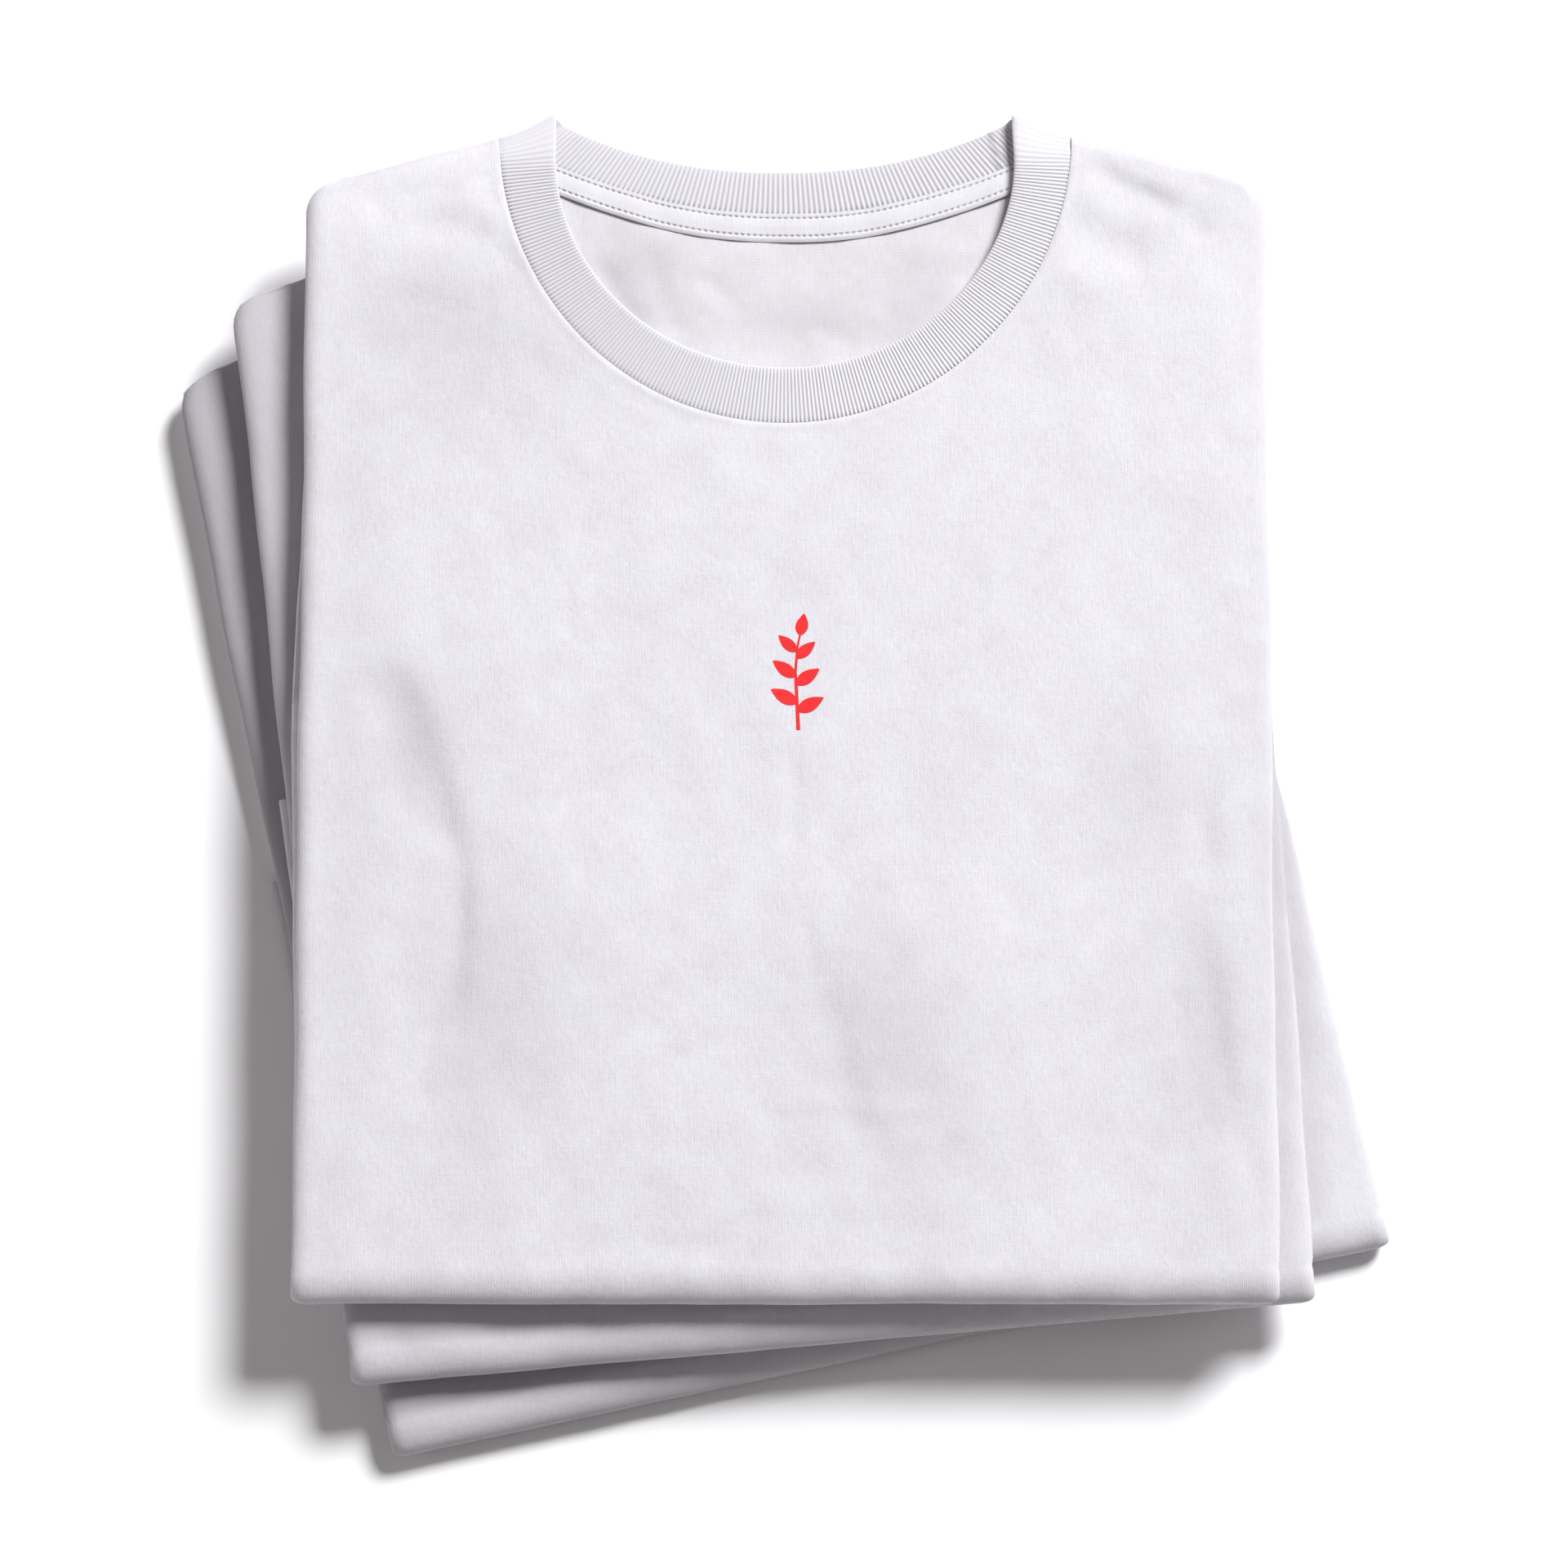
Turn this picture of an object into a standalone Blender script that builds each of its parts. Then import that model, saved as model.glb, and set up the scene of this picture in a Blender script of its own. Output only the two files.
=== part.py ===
"""A stack of three folded crew-neck T-shirts, at real size.

Each shirt is folded as a shop folds it. The sides and sleeves go under, the bottom third goes
under too, and the collar stays on top. Metres, +Z up. The front folds face -Y and the origin is
the bottom centre of the whole stack.

Inside a shirt, u runs across, v runs from the front fold to the shoulders and w runs up from
the shirt's own underside. The folded shirt is two pads thick: the body's pad lies on a lower
pad, which is the folded-under flap in front and the sleeves behind.
"""

import collections
import math

import bmesh
import bpy

# Cloth and seams
CLOTH = 0.0010  # wall of one jersey panel
BAND_CLOTH = 0.0018  # rib knit of the neckband, folded double
TAPE_CLOTH = 0.0008
SEAM = 0.0003  # clearance between two pieces that are sewn or lie together
LAYER_GAP = CLOTH + 0.0008  # from the body's outer face to the layers inside it
LAYER_BACK_GAP = CLOTH + 0.0010

# The folded pads
PAD = 0.0061
THICK = 2 * PAD + SEAM
SIDE_ROLL = 0.0060  # how far a side fold takes to round over
ROLL_ARC = 0.0073  # cloth on a quarter of a side fold
FRONT_ROLL = 0.0075
SHOULDER_ROLL = 0.0060
FLAP = 0.235  # reach of the folded-under bottom third
FLAP_SKEW = 0.014  # the flap is folded slightly askew, so its edge peeps out on the left

# Neckline and shoulders
NECK_HALF = 0.1115  # half the neckline seam, shoulder to shoulder
NECK_TOP = 0.4637
NECK_DROP = 0.1190  # from the shoulder to the front seam of the neckline
BACK_SEAM = 0.4311  # back neckline seam at the centre
SHOULDER_SLOPE = 0.245
CORNER = 0.016  # shoulder corner's radius, seen from above
CORNER_FROM = 0.72  # share of the half width beyond which a corner draws the cloth in
NECK_DIP = 0.0005  # the panel dips into its neckline seam
NECK_EASE = 0.93  # share of the neckline's half width at which its edge starts to roll over
BACK_EASE = 0.985

# Neckband
BAND_HALF = 0.0895  # half the free edge, peak to peak
BAND_PEAK = 0.4710
BAND_ARC_TOP = 0.4550  # where the free edge's round part begins
BAND_FRONT = 0.3672  # free edge at the front centre
BAND_BACK = 0.4493  # free edge at the back centre
BAND_BACK_POWER = 2.2  # how late the back's free edge starts to climb to its peaks
BAND_STRAIGHT = 0.06  # share of the front's free edge that is straight, at each end
BAND_FRONT_LENGTH = 0.3248  # along the middle of the band
BAND_BACK_LENGTH = 0.1904
BAND_EDGE = 0.0007  # rounding of the free edge, where the band is folded double
RIB_PITCH = 0.0014
RIB_RELIEF = 0.0004
CURVE_STEPS = 600  # how finely the band's edges are measured
RIBS_A_BLOCK = 4  # ribs that share one plain face on the band's other side
PLAIN_PITCH = 0.0220  # sections of the bands that the shirts above hide
BAND_FRONT_LEVEL = THICK - 0.0009
BAND_TURN = 0.0014  # radius of the band's fold at the shoulder
BAND_TURN_STEPS = 4
BAND_TURN_IN = 0.0010  # how far that fold stands clear of the shoulder
BAND_CREASE_LEVEL = 0.0090
BAND_RISE = 0.030  # length over which the band leaves the shoulder fold
BAND_BACK_LEVEL = 0.0076
BAND_BACK_EDGE_LEVEL = 0.0048

# Back panel, tape, sleeves and layers
BACK_REACH = 0.322  # the back panel's own sheet begins here, under the front neckline
BACK_BULGE = 0.0018  # how much the back panel rises under the front of the neckband
BACK_BULGE_END = 0.410
BACK_BULGE_EDGE = 0.2  # share of the neck opening over which that rise fades out
FRONT_TURN = 81  # angle that the front panel covers round the shoulder fold, from above
BACK_TURN = 68  # and the back panel from below
BACK_SIDE = 0.012  # the back panel's outer columns start this far inside the side fold
LAYER_SIDE_GAP = LAYER_GAP + 0.0005
LAYER_SQUEEZE = 0.0012  # how much further they stay inside the side folds
LAYER_GROOVE = 0.0010  # depth of the groove between the layers' edges
LAYER_CROWN = 0.0004  # how much thinner the layers are at their sides than at their middle
LAYER_NECK = 7  # columns of the hidden layers on each side of the neckline, at most
LAYER_START = 0.008  # share of the flap left free beyond the layers' own start, at the hem
LAYER_BEND_STEPS = 4
LAYER_TURNS = (40, 75)  # degrees round the side folds of the layers' upper corners
LAYER_TURNS_BELOW = (140, 105)  # and of their lower ones
NOTCH = 0.010  # the layers inside stop this far outside the neckline
TAPE_WIDTH = 0.0120
TAPE_LIFT = 0.0004
TAPE_HALF = 0.098
SLEEVE_START = 0.238
SLEEVE_TOP = 0.425
SLEEVE_INNER = 0.002
SLEEVE_INSET = 0.0020
SLEEVE_PEEP = 0.0052  # the top shirt's left sleeve swings out to meet the skewed flap
SLEEVE_PEEP_END = 0.056  # and is back in line this far from the shoulder
SLEEVE_RADII = (0.003, 0.004, 0.002, 0.020, 0.005)  # its plan corners, except the shoulder's
SLEEVE_SHARES = (0.2, 0.8)  # of the way in from its edge, where its flat faces' rings lie
SLEEVE_GAP = 0.0004  # from a sleeve to what lies over it
SLEEVE_LOBE = 0.0014  # how deep the crease between two sleeve layers is

# Settling of a shirt where nothing lies under it
SAG_AT = 0.040
SAG = 0.0012

# Each shirt's place, turned about the middle of its front fold, its width as folded, and its
# length as a share of the top one's
Shirt = collections.namedtuple(
    "Shirt", "name x y turn front_width shoulder_width length level fine"
)
STACK_X, STACK_Y = 0.00268, -0.20976
SHIRTS = (
    Shirt("bottom", STACK_X + 0.0408, STACK_Y - 0.0136, 12.2, 0.3867, 0.3839, 0.979, 0, False),
    Shirt("middle", STACK_X + 0.0186, STACK_Y - 0.0130, 5.1, 0.3651, 0.3962, 0.981, 1, False),
    Shirt("top", STACK_X, STACK_Y, 0.0, 0.3706, 0.3726, 1.0, 2, True),
)
LEVEL_STEP = THICK + 0.0004

# The largest soft folds of the upper faces: heading is from +u towards +v, in degrees
Fold = collections.namedtuple("Fold", "shirt u v heading length width height")
FOLDS = (
    Fold("top", -0.120, 0.190, -84, 0.080, 0.020, -0.0013),
    Fold("top", -0.080, 0.170, -80, 0.080, 0.022, 0.0006),
    Fold("top", 0.030, 0.140, -75, 0.070, 0.026, -0.0011),
    Fold("top", 0.150, 0.200, -86, 0.110, 0.018, -0.0009),
    Fold("top", 0.140, 0.418, -25, 0.026, 0.014, -0.0010),
    Fold("top", -0.125, 0.420, -32, 0.028, 0.014, -0.0008),
    Fold("middle", -0.150, 0.230, -88, 0.120, 0.020, -0.0008),
    Fold("middle", 0.140, 0.080, -80, 0.060, 0.020, -0.0008),
    Fold("bottom", -0.150, 0.220, -88, 0.120, 0.020, -0.0008),
    Fold("bottom", 0.135, 0.090, -65, 0.060, 0.022, -0.0010),
)

# How finely a shirt's grids are divided: the top one shows, the others are mostly covered
Grid = collections.namedtuple("Grid", "neck shoulder roll flap bend body end back layers ring")
FINE_GRID = Grid(20, 2, 4, 2, 6, 9, 3, 4, 5, 2)
PLAIN_GRID = Grid(8, 2, 3, 1, 4, 5, 3, 3, 4, 2)

# Angles round a side fold, from the upper face, that the front panel covers
WRAP = 172
WRAP_AT_BEND = 95
WRAP_AT_SHOULDER = 83
WRAP_GAP = 19
WRAP_EASE = 0.014

COLOURS = {
    "jersey": (0.80, 0.79, 0.84),
    "rib": (0.76, 0.75, 0.80),
    "tape": (0.82, 0.81, 0.85),
}
ROUGHNESS = 0.9
SHARP_ANGLE = 40  # edges that turn more than this stay crisp


def smooth(x):
    """0 below 0, 1 above 1, and a soft step between."""
    x = min(1.0, max(0.0, x))
    return x * x * (3 - 2 * x)


def spread(start, end, steps):
    """Evenly spaced numbers from start to end, both included."""
    return [start + (end - start) * i / steps for i in range(steps + 1)]


def unit(x, y):
    """The direction of a plan vector."""
    size = math.hypot(x, y)
    return x / size, y / size


def half_width(shirt, v):
    """Half the folded shirt's width, to the outside of its side fold."""
    share = min(1.0, max(0.0, v / NECK_TOP))
    return (shirt.front_width + (shirt.shoulder_width - shirt.front_width) * share) / 2


def flat_half(shirt, v):
    """Half the width of a panel before its side fold rounds over."""
    return half_width(shirt, v) - SIDE_ROLL


def fold_height(shirt, u, v):
    """Height of the soft folds at a point of the upper face, faded out at the edges."""
    height = 0.0
    for fold in FOLDS:
        if fold.shirt != shirt.name:
            continue
        heading = math.radians(fold.heading)
        du, dv = u - fold.u, v - fold.v
        along = du * math.cos(heading) + dv * math.sin(heading)
        across = dv * math.cos(heading) - du * math.sin(heading)
        height += fold.height * math.exp(-((along / fold.length) ** 2) - (across / fold.width) ** 2)
    side = smooth((flat_half(shirt, v) - abs(u)) / SIDE_ROLL)
    return height * side * smooth((v - FRONT_ROLL) / (2 * FRONT_ROLL))


def overhang(shirt, x, y):
    """How far a point lies outside a shirt's outline, seen from above."""
    turn = math.radians(shirt.turn)
    dx, dy = x - shirt.x, y - shirt.y
    u = dx * math.cos(turn) + dy * math.sin(turn)
    v = (dy * math.cos(turn) - dx * math.sin(turn)) / shirt.length
    shoulder = NECK_TOP - SHOULDER_SLOPE * (half_width(shirt, v) - NECK_HALF)
    return math.hypot(max(0.0, abs(u) - half_width(shirt, v)), max(0.0, -v, v - shoulder))


def place(shirt, u, v, w):
    """The point in the stack's frame, settled where a lower shirt doesn't carry it."""
    turn = math.radians(shirt.turn)
    v *= shirt.length
    x = shirt.x + u * math.cos(turn) - v * math.sin(turn)
    y = shirt.y + u * math.sin(turn) + v * math.cos(turn)
    sag = sum(SAG * (overhang(lower, x, y) / SAG_AT) ** 2 for lower in SHIRTS[: shirt.level])
    return (x, y, shirt.level * LEVEL_STEP + w - sag)


def neck_columns(half, steps):
    """Distances across from the centre to a curve's end, closer where the curve is steeper.

    They stand a little wide, so that the straight lines between them stay outside the curve.
    """
    outside = 1 / math.cos(math.pi / 4 / steps)
    return [half * outside * math.sin(a) for a in spread(0, math.pi / 2, steps)]


def neckline(u, half, drop, steps):
    """The neckline's v at a column of that grid, or its end beyond the last one."""
    outside = 1 / math.cos(math.pi / 4 / steps)
    share = min(1.0, abs(u) / (half * outside))
    return NECK_TOP - drop * outside * math.sqrt(1 - share * share)


def shoulder_drop(u):
    """How far the shoulder line has fallen at a distance across."""
    return SHOULDER_SLOPE * max(0.0, abs(u) - NECK_HALF)


def front_end(shirt, u):
    """Where the front panel ends: on the neckline, or on the shoulder line beyond it."""
    steps = grid_of(shirt).neck // 2
    return neckline(u, NECK_HALF, NECK_DROP, steps) - shoulder_drop(u)


def back_end(shirt, u):
    """Where the back panel ends: on the back neckline, or on the shoulder line beyond it."""
    share = min(1.0, abs(u) / NECK_HALF)
    rise = NECK_TOP - BACK_SEAM
    column = math.pi / grid_of(shirt).neck
    straight = rise * column**2 * (1 - share * share) / 4
    return BACK_SEAM + rise * share * share - straight - shoulder_drop(u)


def layers_end(shirt, u):
    """Where the hidden layers end, short of the neckline and of the shoulder line."""
    steps = min(LAYER_NECK, grid_of(shirt).neck // 2)
    notch = neckline(u, NECK_HALF + NOTCH, NECK_DROP + NOTCH, steps)
    return min(notch, NECK_TOP - NOTCH - shoulder_drop(u))


def grid_of(shirt):
    return FINE_GRID if shirt.fine else PLAIN_GRID


def rolled_over(u, start=NECK_EASE):
    """0 inside the neckline and 1 at the shoulder, where a panel's end rounds over."""
    return smooth((abs(u) / NECK_HALF - start) / (1 - start))


def wrap_angle(v, end):
    """Angle that the front panel covers round its side fold, in degrees."""
    near_bend = 1 - smooth((v - FRONT_ROLL) / WRAP_EASE)
    near_end = smooth((v - end + SHOULDER_ROLL + WRAP_EASE) / WRAP_EASE)
    angle = WRAP - (WRAP - WRAP_AT_BEND) * near_bend
    return angle - (angle - WRAP_AT_SHOULDER) * near_end


def corner_shift(shirt, side, v, end):
    """How far a point near a shoulder corner is drawn inwards, to round it from above."""
    near = smooth((abs(side) / half_width(shirt, v) - CORNER_FROM) / (1 - CORNER_FROM))
    rise = max(0.0, 1 - max(0.0, end - v) / CORNER)
    return math.copysign(CORNER * near * (1 - math.sqrt(1 - rise * rise)), side)


def column_at(across, flat, flat_at_top):
    """A column's distance across: as it is near the neckline, and with the width beyond it."""
    fixed = NECK_HALF + NOTCH
    beyond = max(0.0, abs(across) - fixed)
    side = min(abs(across), fixed) + beyond * (flat - fixed) / (flat_at_top - fixed)
    return math.copysign(side, across)


def over_side(shirt, across, angle, v, depth=0.0):
    """Turns a column and its angle round the side fold into (distance across, depth).

    With a depth it follows the inside of the fold, nested that far within it.
    """
    flat = flat_half(shirt, v)
    if not angle:
        return column_at(across, flat, flat_half(shirt, NECK_TOP)), depth
    width = SIDE_ROLL - depth - (LAYER_SQUEEZE if depth else 0.0)
    side = flat + width * math.sin(math.radians(angle))
    turned = (PAD / 2 - depth) * (1 - math.cos(math.radians(angle)))
    return math.copysign(side, across), depth + turned


def front_point(shirt, across, roll, stretch, share, depth=0.0, ends_at=front_end):
    """A point of the front panel's outer face, or at a depth inside it.

    across is the column's distance from the centre line at the shoulders. roll is its share of
    the cloth round the side fold, or its angle there if it belongs to the layers inside.
    stretch and share say how far along the panel the row is.
    """
    layers = ends_at is layers_end
    end = ends_at(shirt, across)
    angle = math.radians(180 * (1 - share) if stretch == "bend" else FRONT_TURN * share)
    shift = 0.0
    if stretch == "flap":
        v = FLAP + (FRONT_ROLL + WRAP_EASE - FLAP) * share
        out_v, out_w, normal = v, 0.0, (0.0, -1.0)
        shift = -FLAP_SKEW * (v - FRONT_ROLL)
    elif stretch == "bend":
        v = FRONT_ROLL
        out_v = FRONT_ROLL * (1 - math.sin(angle))
        out_w = THICK / 2 * (1 + math.cos(angle))
        normal = unit(-math.sin(angle) / FRONT_ROLL, math.cos(angle) / (THICK / 2))
    elif stretch == "body":
        start, stop = FRONT_ROLL + WRAP_EASE, end - SHOULDER_ROLL - WRAP_EASE
        v = out_v = start + (stop - start) * share
        out_w, normal = THICK, (0.0, 1.0)
    else:
        ease = rolled_over(across)
        v = out_v = end - SHOULDER_ROLL * (1 - math.sin(angle))
        drop = ease * PAD / 2 + (1 - ease) * NECK_DIP
        out_w = THICK - drop * (1 - math.cos(angle))
        tip = ease * math.sin(angle)
        normal = (tip, math.sqrt(1 - tip * tip))
    covered = WRAP_AT_BEND if stretch == "bend" else wrap_angle(v, end)
    side, inward = over_side(shirt, across, roll if layers else covered * roll, v, depth)
    if stretch in ("body", "end"):
        fade = 1 - share if stretch == "end" else 1.0
        out_w += fold_height(shirt, side, v) * fade * (inward < PAD / 2)
        side -= corner_shift(shirt, side, out_v, end)
    return place(shirt, side + shift, out_v - inward * normal[0], out_w - inward * normal[1])


def skin(name, upper, lower, colour, grooves=None):
    """A closed solid between two grids of points, rows by columns.

    grooves holds a point for the left and right side of each row, between its two faces.
    """
    shape = bmesh.new()
    tops, floors, sides = (
        [[shape.verts.new(p) for p in row] for row in grid] for grid in (upper, lower, grooves or ())
    )
    last = len(upper[0]) - 1
    for i in range(len(upper) - 1):
        for k in range(last):
            shape.faces.new((tops[i][k], tops[i][k + 1], tops[i + 1][k + 1], tops[i + 1][k]))
            shape.faces.new((floors[i][k], floors[i + 1][k], floors[i + 1][k + 1], floors[i][k + 1]))
        for edge, k in ((0, 0), (1, last)):
            chain = [(tops[row][k], *(sides[row][edge : edge + 1] if sides else ()), floors[row][k])
                     for row in (i, i + 1)]
            for n in range(len(chain[0]) - 1):
                shape.faces.new((chain[0][n], chain[1][n], chain[1][n + 1], chain[0][n + 1]))
    for i in (0, -1):
        for k in range(last):
            corners = [tops[i][k], tops[i][k + 1], floors[i][k + 1], floors[i][k]]
            if sides and k == last - 1:
                corners.insert(2, sides[i][1])
            if sides and k == 0:
                corners.append(sides[i][0])
            shape.faces.new(corners)
    return finish(name, shape, colour)


def finish(name, shape, colour):
    """Makes a bmesh the node of that name, in the stack's collection."""
    bmesh.ops.recalc_face_normals(shape, faces=shape.faces)
    if shape.calc_volume(signed=True) < 0:
        bmesh.ops.reverse_faces(shape, faces=shape.faces)
    mesh = bpy.data.meshes.new(name)
    shape.to_mesh(mesh)
    shape.free()
    piece = bpy.data.objects.new(name, mesh)
    mesh.materials.append(MATERIALS[colour])
    mesh.shade_smooth()
    mesh.set_sharp_from_angle(angle=math.radians(SHARP_ANGLE))
    COLLECTION.objects.link(piece)
    return piece


def panel(name, points, colour):
    """A jersey panel: its outer face as a grid, with the wall added inwards by Solidify."""
    shape = bmesh.new()
    grid = [[shape.verts.new(p) for p in row] for row in points]
    for low, high in zip(grid, grid[1:]):
        for k in range(len(low) - 1):
            shape.faces.new((low[k], low[k + 1], high[k + 1], high[k]))
    mesh = bpy.data.meshes.new(name)
    shape.to_mesh(mesh)
    shape.free()
    piece = bpy.data.objects.new(name, mesh)
    mesh.materials.append(MATERIALS[colour])
    mesh.shade_smooth()
    COLLECTION.objects.link(piece)
    wall = piece.modifiers.new("wall", "SOLIDIFY")
    wall.thickness = CLOTH
    wall.offset = -1
    return piece


def mirrored(right):
    """The columns of the left half, then those of the right half."""
    return [-u for u in reversed(right[1:])] + right


def make_front(shirt, grid):
    """Front panel: upper face, side folds, front fold and the flap's underside in one sheet."""
    flat = flat_half(shirt, NECK_TOP)
    neck = neck_columns(NECK_HALF, grid.neck // 2)
    across = mirrored(neck + spread(neck[-1], flat, grid.shoulder)[1:])
    rolls = spread(0, 1, grid.roll)[1:]
    columns = [(-flat, r) for r in reversed(rolls)] + [(u, 0.0) for u in across]
    columns += [(flat, r) for r in rolls]
    rows = [("flap", t) for t in spread(0, 1, grid.flap)]
    rows += [("bend", t) for t in spread(0, 1, grid.bend)]
    rows += [("body", t) for t in spread(0, 1, grid.body)]
    rows += [("end", t) for t in spread(0, 1, grid.end)]
    points = [[front_point(shirt, u, r, *row) for u, r in columns] for row in rows]
    return panel(f"{shirt.name}_front", points, "jersey")


def make_layers(shirt, grid):
    """The hidden layers: one rounded solid that folds round the front like a closed book."""
    flat = flat_half(shirt, NECK_TOP)
    lowest = PAD - LAYER_BACK_GAP
    neck = neck_columns(NECK_HALF + NOTCH, min(LAYER_NECK, grid.neck // 2))
    across = mirrored(neck + spread(neck[-1], flat, grid.shoulder)[1:])
    rows = [("flap", LAYER_START), ("flap", 1)]
    rows += [("bend", t) for t in spread(0, 1, LAYER_BEND_STEPS)]
    rows += [("body", t) for t in spread(0, 1, grid.layers)]

    def line(angles, row):
        columns = [(-flat, a) for a in reversed(angles)]
        columns += [(u, 0.0) for u in across] + [(flat, a) for a in angles]
        return [
            front_point(shirt, u, a, *row, LAYER_SIDE_GAP if a else LAYER_GAP, layers_end)
            for u, a in columns
        ]

    upper = [line(LAYER_TURNS, row) for row in rows]
    lower = []
    for row in rows:
        middle = [
            front_point(shirt, u, 0.0, *row, lowest - LAYER_CROWN * (u / flat) ** 2, layers_end)
            for u in across
        ]
        sides = line(LAYER_TURNS_BELOW, row)
        lower.append([*sides[:2], *middle, *sides[-2:]])
    grooves = [
        [
            front_point(shirt, side * flat, 90, *row, LAYER_SIDE_GAP + LAYER_GROOVE, layers_end)
            for side in (-1, 1)
        ]
        for row in rows
    ]
    return skin(f"{shirt.name}_inner_layers", upper, lower, "jersey", grooves)


def back_bulge(u, v):
    """How much the back panel rises inside the neckline, under the front of the band."""
    reach = (u / (NECK_HALF + NOTCH)) ** 2 + ((NECK_TOP - v) / (NECK_DROP + NOTCH)) ** 2
    inside = smooth((1 - math.sqrt(reach)) / BACK_BULGE_EDGE)
    return BACK_BULGE * inside * (1 - smooth((v - BAND_FRONT) / (BACK_BULGE_END - BAND_FRONT)))


def back_point(shirt, across, roll, stretch, share):
    """A point of the back panel's outer face, which is the body's pad seen from below."""
    end = back_end(shirt, abs(across) + BACK_SIDE * roll)
    angle = BACK_TURN * share if stretch == "end" else 0.0
    v = end - SHOULDER_ROLL * (1 - math.sin(math.radians(angle)))
    if stretch == "body":
        v = BACK_REACH + (end - SHOULDER_ROLL - WRAP_EASE - BACK_REACH) * share
    flat = flat_half(shirt, v)
    inner = flat - BACK_SIDE
    if roll:
        covered = max(0.0, 180 - wrap_angle(v, end) - WRAP_GAP)
        reach = flat + ROLL_ARC * covered / 90
        girth = inner + (reach - inner) * roll
        beyond = max(0.0, girth - flat) / ROLL_ARC * 90
        side, inward = over_side(shirt, across, beyond, v)
        if not beyond:
            side = math.copysign(girth, across)
    else:
        side, inward = column_at(across, inner, flat_half(shirt, NECK_TOP) - BACK_SIDE), 0.0
    ease = rolled_over(across, BACK_EASE)
    lift = ease * (PAD / 2) * (1 - math.cos(math.radians(angle)))
    tip = ease * math.sin(math.radians(angle))
    normal = (tip, -math.sqrt(1 - tip * tip))
    w = THICK - PAD + back_bulge(side, v) + lift
    side -= corner_shift(shirt, side, v, end)
    return place(shirt, side, v - inward * normal[0], w - inward * normal[1])


def make_back(shirt, grid):
    """Back panel: seen inside the neckline, and as the lower lip of the shoulder edge."""
    inner = flat_half(shirt, NECK_TOP) - BACK_SIDE
    neck = neck_columns(NECK_HALF, grid.neck // 2)
    across = mirrored(neck + spread(neck[-1], inner, grid.shoulder)[1:])
    rolls = spread(0, 1, 3)[1:]
    columns = [(-inner, r) for r in reversed(rolls)] + [(u, 0.0) for u in across]
    columns += [(inner, r) for r in rolls]
    rows = [("body", t) for t in spread(0, 1, grid.back)]
    rows += [("end", t) for t in spread(0, 1, grid.end)]
    points = [[back_point(shirt, u, r, *row) for u, r in reversed(columns)] for row in rows]
    return panel(f"{shirt.name}_back", points, "jersey")


def evenly(curve, count):
    """count + 1 points spaced evenly along a curve given as a function of 0 to 1."""
    dense = [curve(t) for t in spread(0, 1, CURVE_STEPS)]
    lengths = [0.0]
    for a, b in zip(dense, dense[1:]):
        lengths.append(lengths[-1] + math.dist(a, b))
    points, i = [], 0
    for target in spread(0, lengths[-1], count):
        while i < len(dense) - 2 and lengths[i + 1] < target:
            i += 1
        share = (target - lengths[i]) / (lengths[i + 1] - lengths[i])
        points.append(tuple(a + (b - a) * share for a, b in zip(dense[i], dense[i + 1])))
    return points


def front_seam(t):
    """The band's seam edge in front, left to right, just inside the neckline."""
    side = math.sin(math.pi * (t - 0.5))
    clear = SEAM + BAND_TURN_IN * rolled_over(side * NECK_HALF)
    drop = (NECK_DROP - SEAM) * math.cos(math.pi * (t - 0.5))
    return (NECK_HALF - clear) * side, NECK_TOP - drop


def front_free(t):
    """The band's free edge in front: straight from each peak, then a half ellipse."""
    if min(t, 1 - t) < BAND_STRAIGHT:
        share = min(t, 1 - t) / BAND_STRAIGHT
        return math.copysign(BAND_HALF, t - 0.5), BAND_PEAK + (BAND_ARC_TOP - BAND_PEAK) * share
    angle = math.pi * ((t - BAND_STRAIGHT) / (1 - 2 * BAND_STRAIGHT) - 0.5)
    return BAND_HALF * math.sin(angle), BAND_ARC_TOP - (BAND_ARC_TOP - BAND_FRONT) * math.cos(angle)


def back_seam(t):
    """The band's seam edge behind, right to left, just above the back neckline."""
    share = 1 - 2 * t
    u = (NECK_HALF - SEAM - BAND_TURN_IN) * share
    clear = 2 * SEAM * (1 - share * share)
    return u, BACK_SEAM + (NECK_TOP - BACK_SEAM) * share * share + clear


def back_free(t):
    """The band's free edge behind, right to left."""
    share = 1 - 2 * t
    climb = abs(share) ** BAND_BACK_POWER
    return BAND_HALF * share, BAND_BACK + (BAND_PEAK - BAND_BACK) * climb


# A cut across the neckband: its two edges in plan, their mid-levels, how far the band's face has
# turned from facing up, the way its shoulder fold bulges, its rib, and if both faces have points
Section = collections.namedtuple("Section", "seam free seam_level free_level face bulge rib key")


def band_half(curves, length, levels, side, ribbed):
    """The neckband's sections along its front (side 1) or back (side -1) half."""
    block = 2 * RIBS_A_BLOCK if ribbed else 1
    pitch = RIB_PITCH / 2 if ribbed else PLAIN_PITCH
    count = block * round(length / pitch / block)
    crease = BAND_CREASE_LEVEL + side * BAND_TURN
    sections = []
    for i, (seam, free) in enumerate(zip(*(evenly(curve, count) for curve in curves))):
        rise = smooth(min(i, count - i) / count * length / BAND_RISE)
        at_seam, at_free = (crease + (level - crease) * rise for level in levels)
        rib = RIB_RELIEF * rise if ribbed and i % 2 else 0.0
        face = 0.0 if side > 0 else math.pi
        sections.append(Section(seam, free, at_seam, at_free, face, (0, 0), rib, i % block == 0))
    return sections


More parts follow.
